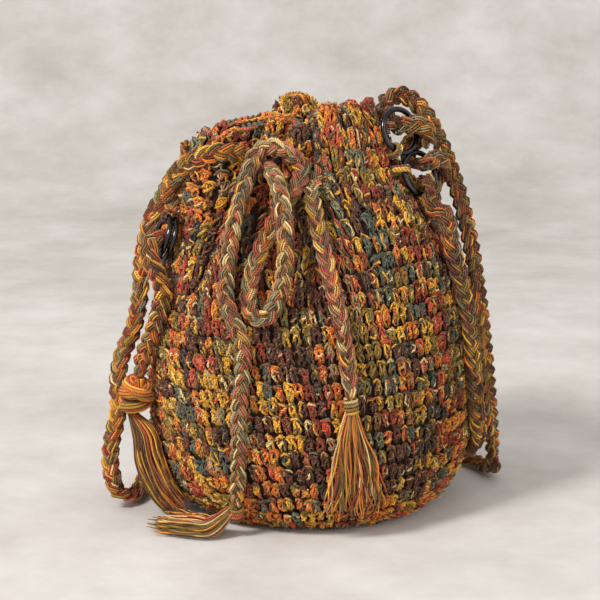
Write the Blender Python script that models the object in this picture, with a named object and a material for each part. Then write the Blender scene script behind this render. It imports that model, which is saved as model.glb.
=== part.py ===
"""A crocheted drawstring pouch with braided cords and metal rings.

The pouch stands on its flat base with +Z up and its axis on the Z axis. Sizes are in metres,
and angles are azimuths in degrees from +X, so that 270 faces -Y.
"""

import math

import bmesh
import bpy
import numpy as np
from mathutils import Matrix, Vector

# The pouch's profile: radius over the gathers at a height.
BASE_RADIUS = 0.062
HEEL_RADIUS = 0.0815
HEEL_HEIGHT = 0.0085
HIP_RADIUS = 0.0945
HIP_HEIGHT = 0.028
BELLY_RADIUS = 0.100
BELLY_HEIGHT = 0.066
WAIST_RADIUS = 0.0980
WAIST_HEIGHT = 0.124
SHOULDER_RADIUS = 0.0790
SHOULDER_HEIGHT = 0.186
NECK_RADIUS = 0.0575
NECK_HEIGHT = 0.215
COLLAR_RADIUS = 0.0505
COLLAR_RISE = 0.017
COLLAR_HEIGHT = NECK_HEIGHT + COLLAR_RISE
RIM_RADIUS = 0.042
RIM_RISE = 0.028
RIM_HEIGHT = NECK_HEIGHT + RIM_RISE

# The creases between the gathers, where the drawstring pulls the wall in. The powers shape how
# fast a crease deepens up the wall, how round a gather is, and how its lift grows to the rim.
NECK_CREASE_RADIUS = 0.031
RIM_CREASE_RADIUS = 0.027
CREASE_START_HEIGHT = 0.118
CREASE_POWER = 1.9
GATHER_POWER = 2.0
GATHER_POWER_PER_DEGREE = 1 / 22
GATHER_ROUNDING = 0.8
LIFT_POWER = 1.3

# The crocheted wall: its thickness, one row's height and how far a row swells.
WALL = 0.0032
ROW_PITCH = 0.0117
ROW_SWELL = 0.0014
INNER_STEP = 0.023
CREASE_FOLD = 0.7
SLOPE_REACH = 0.002

# Each gather: the azimuth of the crease that starts it, the columns of faces across it, how
# far it swells from the creases (1 is up to the profile), how far its top stands above the rim
# and how far it spreads beyond the profile from the neck up.
GATHERS = [
    (8, 8, 0.95, -0.002, 0.000),
    (38, 6, 0.88, 0.001, 0.000),
    (64, 4, 0.75, 0.004, 0.000),
    (84, 6, 1.00, 0.013, 0.000),
    (118, 6, 0.92, 0.002, 0.000),
    (146, 6, 0.88, 0.000, 0.008),
    (172, 8, 1.00, 0.000, 0.020),
    (222, 4, 0.80, 0.001, 0.000),
    (245, 6, 0.72, -0.003, 0.000),
    (271, 12, 1.00, 0.010, 0.000),
    (338, 6, 0.72, -0.004, 0.000),
]

# The braided cord: its radius, and the clearance to what it lies on or passes through.
CORD_RADIUS = 0.0047
CORD_CLEARANCE = 0.0006
CORD_STEP = 0.022
PASSAGE_REACH = 0.002
CORD_BEND = 34

# The metal rings.
RING_RADIUS = 0.0133
RING_WIRE = 0.0017
RING_SEGMENTS = 24
RING_SIDES = 8

# The yarn loops that hold the rings: half the loop's width and its yarn's radius.
TAB_YARN = 0.0015
TAB_CLEARANCE = 0.0005
TAB_HALF_WIDTH = RING_WIRE + TAB_CLEARANCE + TAB_YARN

# The wraps of yarn that bind a cord's end into a tassel. Their profile is shares of the length
# and of the radius.
TIE_RADIUS = 0.0056
TIE_LENGTH = 0.0085
TIE_PROFILE = [(0.0, 0.75), (0.12, 0.95), (0.35, 1.0), (0.65, 1.0), (0.88, 0.95), (1.0, 0.75)]
END_GAP = 0.0005
LEAD_IN = 0.0065

# The knot on the strap's left end.
KNOT_RADIUS = 0.0100
KNOT_LENGTH = 0.0235
KNOT_LOBE = 0.13


def smooth_line(knots, step):
    """Points about step apart on a centripetal Catmull-Rom curve through the knots."""
    knots = np.array(knots, float)
    ends = [2 * knots[0] - knots[1], 2 * knots[-1] - knots[-2]]
    knots = np.vstack([ends[0], knots, ends[1]])
    made = [knots[1]]
    for a, b, c, d in zip(knots, knots[1:], knots[2:], knots[3:]):
        gaps = [math.sqrt(np.linalg.norm(q - p)) for p, q in ((a, b), (b, c), (c, d))]
        t = np.concatenate([[0], np.cumsum(gaps)])
        count = max(1, round(np.linalg.norm(c - b) / step))
        for u in np.linspace(t[1], t[2], count + 1)[1:]:
            ab = a + (b - a) * (u - t[0]) / (t[1] - t[0])
            bc = b + (c - b) * (u - t[1]) / (t[2] - t[1])
            cd = c + (d - c) * (u - t[2]) / (t[3] - t[2])
            abc = ab + (bc - ab) * (u - t[0]) / (t[2] - t[0])
            bcd = bc + (cd - bc) * (u - t[1]) / (t[3] - t[1])
            made.append(abc + (bcd - abc) * (u - t[1]) / (t[2] - t[1]))
    return np.array(made)


PROFILE = smooth_line(
    [
        (BASE_RADIUS, 0.0),
        (HEEL_RADIUS, HEEL_HEIGHT),
        (HIP_RADIUS, HIP_HEIGHT),
        (BELLY_RADIUS, BELLY_HEIGHT),
        (WAIST_RADIUS, WAIST_HEIGHT),
        (SHOULDER_RADIUS, SHOULDER_HEIGHT),
        (NECK_RADIUS, NECK_HEIGHT),
        (COLLAR_RADIUS, COLLAR_HEIGHT),
        (RIM_RADIUS, RIM_HEIGHT),
    ],
    0.001,
)
UP_THE_WALL = np.concatenate([[0], np.cumsum(np.linalg.norm(np.diff(PROFILE, axis=0), axis=1))])
ROWS = round(UP_THE_WALL[-1] / ROW_PITCH)


def near_wall(azimuth, height, out):
    """A point at a distance out from the profile, square to it, above the place at a height."""
    span = 0.003
    low, radius, high = np.interp([height - span, height, height + span], PROFILE[:, 1], PROFILE[:, 0])
    run = np.array([2 * span, low - high])
    run /= np.linalg.norm(run)
    radius += out * run[0]
    a = math.radians(azimuth)
    return (radius * math.cos(a), radius * math.sin(a), height + out * run[1])


def off_wall(azimuth, height):
    """The direction square off the profile at a place."""
    return tuple(np.subtract(near_wall(azimuth, height, 1.0), near_wall(azimuth, height, 0.0)))


def by_neck(azimuth, out, rise):
    """A point beyond the neck's radius by some way and above the neck's height by some rise."""
    a = math.radians(azimuth)
    reach = NECK_RADIUS + out
    return (reach * math.cos(a), reach * math.sin(a), NECK_HEIGHT + rise)


# Routes of the cords, picked by hand. The drawstring's neck part runs through the gathers.
DRAWSTRING_FRONT_END = [
    near_wall(282, 0.091, 0.0077),
    near_wall(281.5, 0.105, 0.0072),
    near_wall(280, 0.126, 0.0066),
    near_wall(278, 0.145, 0.0066),
    near_wall(276, 0.160, 0.0066),
    near_wall(274, 0.174, 0.0066),
    near_wall(272, 0.186, 0.0066),
    near_wall(270.5, 0.198, 0.0060),
    near_wall(270, 0.209, 0.0000),
]
DRAWSTRING_NECK_RADIUS = 0.041
DRAWSTRING_NECK_HEIGHT = 0.217
DRAWSTRING_NECK_START = 283
DRAWSTRING_NECK_END = 596
DRAWSTRING_NECK_STEP = 18
DRAWSTRING_LOOPS = [
    near_wall(243.5, 0.217, 0.0010),
    near_wall(249, 0.212, 0.0095),
    near_wall(254, 0.205, 0.0150),
    near_wall(258.5, 0.194, 0.0170),
    near_wall(261, 0.180, 0.0170),
    near_wall(261.5, 0.166, 0.0165),
    near_wall(260.5, 0.153, 0.0130),
    near_wall(258, 0.142, 0.0095),
    near_wall(254.5, 0.135, 0.0080),
    near_wall(250.5, 0.136, 0.0068),
    near_wall(248.5, 0.144, 0.0066),
    near_wall(248.5, 0.156, 0.0066),
    near_wall(250, 0.168, 0.0066),
    near_wall(252.5, 0.179, 0.0066),
    near_wall(256, 0.190, 0.0066),
    near_wall(260, 0.200, 0.0066),
    near_wall(263.5, 0.209, 0.0050),
    near_wall(264, 0.2185, 0.0030),
    near_wall(257, 0.2255, 0.0050),
    near_wall(247, 0.2285, 0.0080),
    near_wall(238.5, 0.224, 0.0090),
    near_wall(236, 0.214, 0.0085),
    near_wall(237, 0.202, 0.0076),
    near_wall(238, 0.188, 0.0070),
    near_wall(238.5, 0.174, 0.0066),
    near_wall(239, 0.160, 0.0066),
    near_wall(239.5, 0.148, 0.0066),
    near_wall(242, 0.138, 0.0074),
    near_wall(246.5, 0.128, 0.0110),
    near_wall(248.5, 0.118, 0.0100),
    near_wall(248, 0.104, 0.0070),
    near_wall(247, 0.088, 0.0066),
    near_wall(246.5, 0.070, 0.0066),
    near_wall(246, 0.052, 0.0066),
    near_wall(245, 0.036, 0.0070),
    near_wall(243.5, 0.024, 0.0080),
]
STRAP_MAIN_RUN = [
    by_neck(341.4, -0.0105, 0.0310),
    by_neck(352.6, -0.0111, 0.0380),
    by_neck(1.0, -0.0015, 0.0415),
    by_neck(3.4, 0.0106, 0.0330),
    by_neck(3.6, 0.0217, 0.0140),
    (0.090, 0.007, 0.2020),
    (0.099, 0.009, 0.1700),
    (0.107, 0.012, 0.1250),
    (0.113, 0.016, 0.0780),
    (0.1165, 0.019, 0.0440),
    (0.1190, 0.024, 0.0220),
    (0.1195, 0.033, 0.0090),
    (0.1175, 0.046, 0.0053),
    (0.112, 0.058, 0.0051),
    (0.100, 0.074, 0.0051),
    (0.075, 0.092, 0.0051),
    (0.040, 0.104, 0.0051),
    (0.000, 0.108, 0.0051),
    (-0.040, 0.103, 0.0051),
    (-0.075, 0.086, 0.0051),
    (-0.098, 0.058, 0.0051),
    (-0.107, 0.027, 0.0051),
    (-0.109, 0.001, 0.0051),
    (-0.113, -0.020, 0.0060),
    (-0.121, -0.030, 0.0120),
    (-0.125, -0.029, 0.0240),
    (-0.125, -0.027, 0.0400),
    (-0.1205, -0.023, 0.0620),
    (-0.1205, -0.020, 0.0820),
    (-0.1180, -0.017, 0.0960),
    (-0.1110, -0.012, 0.1120),
    (-0.1070, -0.008, 0.1320),
    (-0.1055, -0.005, 0.1540),
    (-0.1010, -0.005, 0.1740),
    (-0.0970, -0.007, 0.1850),
    (-0.0905, -0.012, 0.1960),
    (-0.0840, -0.022, 0.2080),
    (-0.0765, -0.033, 0.2170),
    (-0.0665, -0.041, 0.2230),
    (-0.0555, -0.043, 0.2265),
    (-0.0465, -0.039, 0.2255),
    (-0.0385, -0.033, 0.2240),
]
STRAP_SECOND_RUN = [
    near_wall(333, 0.183, 0.0115),
    near_wall(332.5, 0.170, 0.0090),
    near_wall(334.5, 0.152, 0.0072),
    near_wall(336, 0.128, 0.0069),
    near_wall(336.5, 0.104, 0.0069),
    near_wall(339.0, 0.080, 0.0069),
    near_wall(344.5, 0.060, 0.0075),
    near_wall(352, 0.046, 0.0085),
    near_wall(359, 0.035, 0.0085),
    near_wall(8, 0.032, 0.0080),
    near_wall(16, 0.040, 0.0070),
    near_wall(21, 0.056, 0.0068),
    near_wall(24, 0.080, 0.0066),
    near_wall(27, 0.110, 0.0066),
    near_wall(30, 0.140, 0.0066),
    near_wall(33, 0.168, 0.0066),
    near_wall(36, 0.190, 0.0066),
    near_wall(37.5, 0.206, 0.0030),
    near_wall(38, 0.214, -0.0080),
]
STRAP_LEFT_END = [
    near_wall(200.5, 0.1690, 0.0025),
    near_wall(201.0, 0.1690, 0.0110),
    near_wall(203.5, 0.1655, 0.0190),
    near_wall(207.5, 0.1570, 0.0200),
    near_wall(210.0, 0.1490, 0.0140),
    near_wall(210.0, 0.1400, 0.0085),
    near_wall(208.0, 0.1280, 0.0068),
    near_wall(205.0, 0.1120, 0.0084),
    near_wall(202.5, 0.1000, 0.0108),
    near_wall(201.2, 0.0880, 0.0126),
]

# The left rings lie on the wall, one on the other: where, how far off it, and how far apart.
LEFT_RINGS_AZIMUTH = 198
LEFT_RINGS_HEIGHT = 0.169
LEFT_RINGS_OFF = 0.0066
LEFT_RINGS_APART = 0.0040
LEFT_RINGS = (LEFT_RINGS_AZIMUTH, LEFT_RINGS_HEIGHT)

# Where the rings hang: the centre, and which way the ring faces.
RINGS = {
    "ring_right_upper": (by_neck(332.8, 0.00265, 0.0225), (0.62, -0.72, 0.30)),
    "ring_right_lower": (by_neck(340.0, 0.01273, -0.0040), (0.65, -0.68, 0.35)),
    "ring_left_inner": (near_wall(*LEFT_RINGS, LEFT_RINGS_OFF), off_wall(*LEFT_RINGS)),
    "ring_left_outer": (near_wall(*LEFT_RINGS, LEFT_RINGS_OFF + LEFT_RINGS_APART), off_wall(*LEFT_RINGS)),
}

# The loops that hold the rings: which ring, where on it in degrees up from its right side, which
# way the loop stands off the wall, and how far behind the wire it is seated.
TABS = {
    "ring_tab_upper": ("ring_right_upper", 240, (0.82, -0.57, 0.0), 0.0079),
    "ring_tab_lower": ("ring_right_lower", 165, (0.99, -0.10, 0.1), 0.0072),
    "ring_tab_left": ("ring_left_outer", 90, off_wall(*LEFT_RINGS), 0.0078),
}
TAB_STEPS = 20
TAB_SIDES = 6

# The strap's winding round the right rings: its radius round the wire, its pitch, and where on
# each ring its axis runs, in degrees up from the ring's right side.
HITCH_WINDING = RING_WIRE + CORD_RADIUS + 0.0010
HITCH_PITCH = 0.0275
HITCH_UPPER = (30, -20)
HITCH_LOWER = (85, -95)
HITCH_FIRST_TURN = 0

# Tassels: each station by the wall is an azimuth, a height, a stand-off, a half width and a half
# thickness, and each station on the floor (the left tassel's) is x, y, z and the same two halves.
# The first station follows from the cord's own end, with the halves in TIE_TOP.
TIE_TOP = (0.0052, 0.0042)
TASSEL_RIGHT = [
    (282.8, 0.0700, 0.0064, 0.0078, 0.0040),
    (283.4, 0.0590, 0.0060, 0.0105, 0.0038),
    (284.0, 0.0460, 0.0058, 0.0135, 0.0036),
    (284.6, 0.0320, 0.0056, 0.0160, 0.0034),
    (285.0, 0.0210, 0.0054, 0.0175, 0.0028),
]
TASSEL_LEFT = [
    (-0.0590, -0.0860, 0.0066, 0.0090, 0.0046),
    (-0.0680, -0.0815, 0.0052, 0.0115, 0.0038),
    (-0.0810, -0.0730, 0.0044, 0.0140, 0.0032),
    (-0.0930, -0.0640, 0.0040, 0.0155, 0.0026),
]
STRAP_TASSEL = [
    (200.8, 0.0520, 0.0100, 0.0080, 0.0050),
    (203.0, 0.0380, 0.0092, 0.0098, 0.0042),
    (205.5, 0.0240, 0.0096, 0.0112, 0.0040),
    (208.0, 0.0130, 0.0100, 0.0124, 0.0040),
]


def material(name, colour, roughness, metallic=0.0):
    """A Principled material of one colour."""
    made = bpy.data.materials.new(name)
    made.use_nodes = True
    shader = made.node_tree.nodes["Principled BSDF"]
    shader.inputs["Base Color"].default_value = (*colour, 1)
    shader.inputs["Roughness"].default_value = roughness
    shader.inputs["Metallic"].default_value = metallic
    return made


def add_mesh(name, bm, look, smooth=True):
    """A named object from a bmesh, with its own material."""
    mesh = bpy.data.meshes.new(name)
    bmesh.ops.recalc_face_normals(bm, faces=bm.faces)
    bm.to_mesh(mesh)
    bm.free()
    if smooth:
        mesh.shade_smooth()
    mesh.materials.append(look)
    made = bpy.data.objects.new(name, mesh)
    bpy.context.scene.collection.objects.link(made)
    return made


def gather_at(azimuth):
    """How far the gather at an azimuth swells, how far its top is lifted and how far it spreads."""
    for i, (start, _, reach, lift, spread) in enumerate(GATHERS):
        width = (GATHERS[(i + 1) % len(GATHERS)][0] - start) % 360
        into = (azimuth - start) % 360
        if into <= width:
            across = 2 * into / width - 1
            power = GATHER_POWER + width * GATHER_POWER_PER_DEGREE
            swell = (1 - abs(across) ** power) ** GATHER_ROUNDING
            return swell * reach, swell * lift, swell * spread
    return 0.0, 0.0, 0.0


def spread_share(height):
    """How much of its spread a gather has at a height: none below the shoulder, all at the neck."""
    return float(np.clip((height - SHOULDER_HEIGHT) / (NECK_HEIGHT - SHOULDER_HEIGHT), 0, 1))


def on_profile(up):
    """The profile's radius and height at a length up the wall."""
    return np.array([np.interp(up, UP_THE_WALL, PROFILE[:, 0]), np.interp(up, UP_THE_WALL, PROFILE[:, 1])])


def wall_point(azimuth, up, proud=0.0):
    """A point of the wall's outer face at a length up the wall, proud of it by some way."""
    radius, height = on_profile(up)
    run = on_profile(up + SLOPE_REACH) - on_profile(up - SLOPE_REACH)
    run /= np.linalg.norm(run)
    swell, lift, spread = gather_at(azimuth)
    pull = (height - CREASE_START_HEIGHT) / (NECK_HEIGHT - CREASE_START_HEIGHT)
    if pull > 0:
        above_neck = max(0.0, (height - NECK_HEIGHT) / (RIM_HEIGHT - NECK_HEIGHT))
        crease = NECK_CREASE_RADIUS + (RIM_CREASE_RADIUS - NECK_CREASE_RADIUS) * above_neck
        creased = radius + (min(crease, radius) - radius) * min(1.0, pull) ** CREASE_POWER
        radius = creased + (radius - creased) * swell + spread * spread_share(height)
        height += lift * above_neck**LIFT_POWER
    radius += proud * run[1]
    height = max(0.0, height - proud * run[0])
    a = math.radians(azimuth)
    return np.array([radius * math.cos(a), radius * math.sin(a), height])


def inner_point(azimuth, up, in_crease):
    """The wall's inner face behind the same place. A crease's own lies straight in and deeper."""
    turn, rise = 0.5, SLOPE_REACH
    top = UP_THE_WALL[-1]
    a = math.radians(azimuth)
    if in_crease:
        across = np.array([-math.sin(a), math.cos(a), 0])
    else:
        across = wall_point(azimuth + turn, up) - wall_point(azimuth - turn, up)
    along = wall_point(azimuth, min(top, up + rise)) - wall_point(azimuth, max(0.0, up - rise))
    normal = np.cross(across, along)
    normal /= np.linalg.norm(normal)
    place = wall_point(azimuth, up) - normal * WALL
    if in_crease:
        height = np.interp(up, UP_THE_WALL, PROFILE[:, 1])
        pull = max(0.0, (height - CREASE_START_HEIGHT) / (NECK_HEIGHT - CREASE_START_HEIGHT))
        place -= np.array([math.cos(a), math.sin(a), 0]) * WALL * CREASE_FOLD * min(1.0, pull)
    return place


def column_azimuths():
    """Azimuths of the face columns, and which of them lie in a crease."""
    columns = []
    for i, (start, count, *_) in enumerate(GATHERS):
        width = (GATHERS[(i + 1) % len(GATHERS)][0] - start) % 360
        columns += [(start + width * k / count, k == 0) for k in range(count)]
    return columns


def bridge(bm, low, high):
    """Faces between two rings, where the upper ring may have twice the points of the lower."""
    if len(high) == len(low):
        for i in range(len(low)):
            j = (i + 1) % len(low)
            bm.faces.new((low[i], low[j], high[j], high[i]))
        return
    for i in range(len(low)):
        j = (i + 1) % len(low)
        a, b, c = high[2 * i], high[2 * i + 1], high[(2 * i + 2) % len(high)]
        bm.faces.new((low[i], b, a))
        bm.faces.new((low[i], low[j], b))
        bm.faces.new((low[j], c, b))


def build_body(look):
    """The hollow crocheted wall: rows as ridges, gathers with creases, and an open mouth."""
    bm = bmesh.new()
    columns = column_azimuths()
    top = UP_THE_WALL[-1]

    def columns_at(up):
        height = np.interp(up, UP_THE_WALL, PROFILE[:, 1])
        return columns if height > CREASE_START_HEIGHT else columns[::2]

    outer = []
    for k in range(2 * ROWS + 1):
        up = top * k / (2 * ROWS)
        proud = ROW_SWELL if k % 2 else 0.0
        outer.append([bm.verts.new(wall_point(a, up, proud)) for a, _ in columns_at(up)])
    for low, high in zip(outer, outer[1:]):
        bridge(bm, low, high)
    bm.faces.new(reversed(outer[0]))

    steps = round(top / INNER_STEP)
    inner = []
    for k in range(steps + 1):
        up = top * k / steps
        inner.append([bm.verts.new(inner_point(a, up, folded)) for a, folded in columns_at(up)])
    for low, high in zip(inner, inner[1:]):
        bridge(bm, low, high)
    bm.faces.new(inner[0])
    bridge(bm, outer[-1], inner[-1])
    return add_mesh("bag_body", bm, look)


def tube_mesh(points, radius, sides=12):
    """A closed tube mesh along points, for a cutter."""
    bm = bmesh.new()
    rings = []
    side = Vector((0, 0, 1))
    for i, point in enumerate(points):
        before, after = points[max(0, i - 1)], points[min(len(points) - 1, i + 1)]
        run = (Vector(after) - Vector(before)).normalized()
        side = (side - run * side.dot(run)).normalized()
        other = run.cross(side)
        turns = [2 * math.pi * k / sides for k in range(sides)]
        spots = [Vector(point) + (side * math.cos(t) + other * math.sin(t)) * radius for t in turns]
        rings.append([bm.verts.new(spot) for spot in spots])
    for low, high in zip(rings, rings[1:]):
        bridge(bm, low, high)
    bm.faces.new(reversed(rings[0]))
    bm.faces.new(rings[-1])
    return bm


def inside_wall(points):
    """The stretch of a cord that lies within the gathers' reach, and one point more at each end."""
    within = []
    for i, (x, y, z) in enumerate(points):
        spread = gather_at(math.degrees(math.atan2(y, x)) % 360)[2] * spread_share(z)
        reach = np.interp(z, PROFILE[:, 1], PROFILE[:, 0]) + spread
        if z > CREASE_START_HEIGHT and math.hypot(x, y) < reach + PASSAGE_REACH:
            within.append(i)
    return [tuple(p) for p in points[max(0, within[0] - 1) : within[-1] + 2]]


def cut_passage(body, name, points, look):
    """A passage through the wall for a cord along these points."""
    cutter = add_mesh(name, tube_mesh(points, CORD_RADIUS + CORD_CLEARANCE), look)
    cutter.hide_render = True
    cutter.display_type = "WIRE"
    cut = body.modifiers.new(name, "BOOLEAN")
    cut.operation = "DIFFERENCE"
    cut.solver = "EXACT"
    cut.object = cutter


def cord_points(route):
    """Points along a route, closer together where it bends."""
    fine = smooth_line(route, 0.0008)
    points = [fine[0]]
    run, turn = 0.0, 0.0
    for before, here, after in zip(fine, fine[1:], fine[2:]):
        run += np.linalg.norm(here - before)
        turn += math.degrees(Vector(here - before).angle(Vector(after - here)))
        if run / CORD_STEP + turn / CORD_BEND >= 1 and np.linalg.norm(fine[-1] - here) > CORD_STEP / 4:
            points.append(here)
            run, turn = 0.0, 0.0
    points.append(fine[-1])
    return points


def add_cord(name, points, look):
    """A plain tube for a braided cord."""
    curve = bpy.data.curves.new(name, "CURVE")
    curve.dimensions = "3D"
    curve.bevel_depth = CORD_RADIUS
    curve.bevel_resolution = 2
    curve.use_fill_caps = True
    spline = curve.splines.new("POLY")
    spline.points.add(len(points) - 1)
    for spot, point in zip(spline.points, points):
        spot.co = (*point, 1)
    curve.materials.append(look)
    made = bpy.data.objects.new(name, curve)
    bpy.context.scene.collection.objects.link(made)
    return made


def neck_route():
    """The drawstring's way round the neck, outside each crease and inside each gather."""
    turns = np.radians(np.arange(DRAWSTRING_NECK_START, DRAWSTRING_NECK_END + 1, DRAWSTRING_NECK_STEP))
    r = DRAWSTRING_NECK_RADIUS
    return [(r * math.cos(t), r * math.sin(t), DRAWSTRING_NECK_HEIGHT) for t in turns]


def ring_frame(name):
    """A ring's centre, the way it faces, and its own right and up."""
    centre, facing = RINGS[name]
    facing = Vector(facing).normalized()
    right = Vector((0, 0, 1)).cross(facing).normalized()
    return Vector(centre), facing, right, facing.cross(right)


def hitch_route():
    """The strap's winding round the right arcs of both right rings."""
    axis = []
    for name, (first, last) in (("ring_right_upper", HITCH_UPPER), ("ring_right_lower", HITCH_LOWER)):
        centre, facing, right, up = ring_frame(name)
        for angle in np.radians(np.linspace(first, last, 24)):
            outward = right * math.cos(angle) + up * math.sin(angle)
            axis.append((centre + outward * RING_RADIUS, -outward, facing))
    half = len(axis) // 2
    (spot_a, in_a, face_a), (spot_b, in_b, face_b) = axis[half - 1], axis[half]
    hop = [
        (spot_a.lerp(spot_b, t), in_a.lerp(in_b, t).normalized(), face_a.lerp(face_b, t).normalized())
        for t in np.linspace(0, 1, 12)[1:-1]
    ]
    axis[half:half] = hop
    points = []
    along = 0.0
    for i, (spot, inward, facing) in enumerate(axis):
        along += (spot - axis[i - 1][0]).length if i else 0.0
        turn = math.radians(HITCH_FIRST_TURN + 360 * along / HITCH_PITCH)
        points.append(spot + (inward * math.cos(turn) + facing * math.sin(turn)) * HITCH_WINDING)
    return points


def turn_to(direction):
    """A rotation that takes +Z to a direction."""
    return Vector(direction).normalized().to_track_quat("Z", "Y").to_matrix().to_4x4()


def add_ring(name, centre, facing, radius, wire, look):
    """A ring of round wire that faces a direction."""
    rings = []
    bm = bmesh.new()
    for i in range(RING_SEGMENTS):
        a = 2 * math.pi * i / RING_SEGMENTS
        turns = [2 * math.pi * k / RING_SIDES for k in range(RING_SIDES)]
        spots = [(radius + wire * math.cos(b), wire * math.sin(b)) for b in turns]
        rings.append([bm.verts.new((r * math.cos(a), r * math.sin(a), z)) for r, z in spots])
    for low, high in zip(rings, rings[1:] + rings[:1]):
        bridge(bm, low, high)
    made = add_mesh(name, bm, look)
    made.matrix_world = Matrix.Translation(Vector(centre)) @ turn_to(facing)
    return made


def add_tab(name, seat, reach, along_wire, look):
    """A closed loop of yarn from its seat on the wall round the wires that it holds."""
    seat, reach = Vector(seat), Vector(reach)
    out = (reach - seat).normalized()
    side = out.cross(Vector(along_wire)).normalized()
    half = TAB_HALF_WIDTH
    straight = max(0.0, (reach - seat).length - 2 * half)
    bm = bmesh.new()
    rings = []
    across = side.cross(out)
    for i in range(TAB_STEPS):
        t = 2 * math.pi * i / TAB_STEPS
        shift = straight if math.cos(t) > 0 else 0.0
        middle = seat + out * (half + shift)
        away = out * math.cos(t) + side * math.sin(t)
        ring = []
        for k in range(TAB_SIDES):
            b = 2 * math.pi * k / TAB_SIDES
            spot = middle + away * (half + TAB_YARN * math.cos(b)) + across * TAB_YARN * math.sin(b)
            ring.append(bm.verts.new(spot))
        rings.append(ring)
    for low, high in zip(rings, rings[1:] + rings[:1]):
        bridge(bm, low, high)
    return add_mesh(name, bm, look)


def add_loft(name, stations, look, sides=24, flute=0.86):
    """A fluted tassel: each station is a centre, a half width and a half thickness as vectors."""
    bm = bmesh.new()
    rings = []
    for centre, wide, thick in stations:
        ring = []
        for k in range(sides):
            t = 2 * math.pi * k / sides
            reach = 1.0 if k % 2 else flute
            spot = Vector(centre) + (Vector(wide) * math.cos(t) + Vector(thick) * math.sin(t)) * reach
            ring.append(bm.verts.new(spot))
        rings.append(ring)
    for low, high in zip(rings, rings[1:]):
        bridge(bm, low, high)
    bm.faces.new(reversed(rings[0]))
    bm.faces.new(rings[-1])
    return add_mesh(name, bm, look, smooth=False)


def add_tie(name, top, bottom, look):
    """Wraps of yarn round a cord's end, with rounded edges."""
    reach = Vector(bottom) - Vector(top)
    side = reach.orthogonal().normalized() * TIE_RADIUS
    other = reach.normalized().cross(side)
    stations = [(Vector(top) + reach * share, side * girth, other * girth) for share, girth in TIE_PROFILE]
    return add_loft(name, stations, look, sides=16, flute=1.0)


def beyond(points, distance):
    """A point straight on past the last of some points."""
    last, before = Vector(points[-1]), Vector(points[-2])
    return last + (last - before).normalized() * distance


def wall_places(stations):
    """Places by the wall, the direction off it, and two half sizes each."""
    made = []
    for azimuth, height, out, wide, thick in stations:
        place = Vector(near_wall(azimuth, height, out))
        off = Vector(near_wall(azimuth, height, out + 0.01)) - place
        made.append((place, off, wide, thick))
    return made


def floor_places(stations):
    """Places on the floor, the direction off it, and two half sizes each."""
    return [(Vector((x, y, z)), Vector((0, 0, 1)), wide, thick) for x, y, z, wide, thick in stations]


def add_tassel(name, cord, start, places, look):
    """A flat bundle of strands that starts straight on past a cord's end and spreads from there."""
    top, heading = beyond(cord, start), beyond(cord, 2 * start) - beyond(cord, start)
    places = [(top, places[0][1], *TIE_TOP)] + places
    stations = []
    for i, (place, off, wide, thick) in enumerate(places):
        before, after = places[max(0, i - 1)][0], places[min(len(places) - 1, i + 1)][0]
        run = (after - before if i else heading).normalized()
        off = (off - run * run.dot(off)).normalized()
        stations.append((place, run.cross(off) * wide, off * thick))
    add_loft(name, stations, look)


def add_knot(name, top, bottom, look):
    """A twisted three-lobed knot."""
    top, bottom = Vector(top), Vector(bottom)
    run = (bottom - top).normalized()
    side = run.orthogonal().normalized()
    other = run.cross(side)
    bm = bmesh.new()
    rings = []
    levels, sides = 8, 18
    for i in range(levels + 1):
        t = i / levels
        girth = KNOT_RADIUS * (0.38 + 0.62 * math.sin(math.pi * t) ** 0.6)
        middle = top + run * (bottom - top).length * t
        ring = []
        for k in range(sides):
            a = 2 * math.pi * k / sides
            r = girth * (1 + KNOT_LOBE * math.cos(3 * (a - 1.6 * t)))
            ring.append(bm.verts.new(middle + side * r * math.cos(a) + other * r * math.sin(a)))
        rings.append(ring)
    for low, high in zip(rings, rings[1:]):
        bridge(bm, low, high)
    bm.faces.new(reversed(rings[0]))
    bm.faces.new(rings[-1])
    return add_mesh(name, bm, look)


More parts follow.
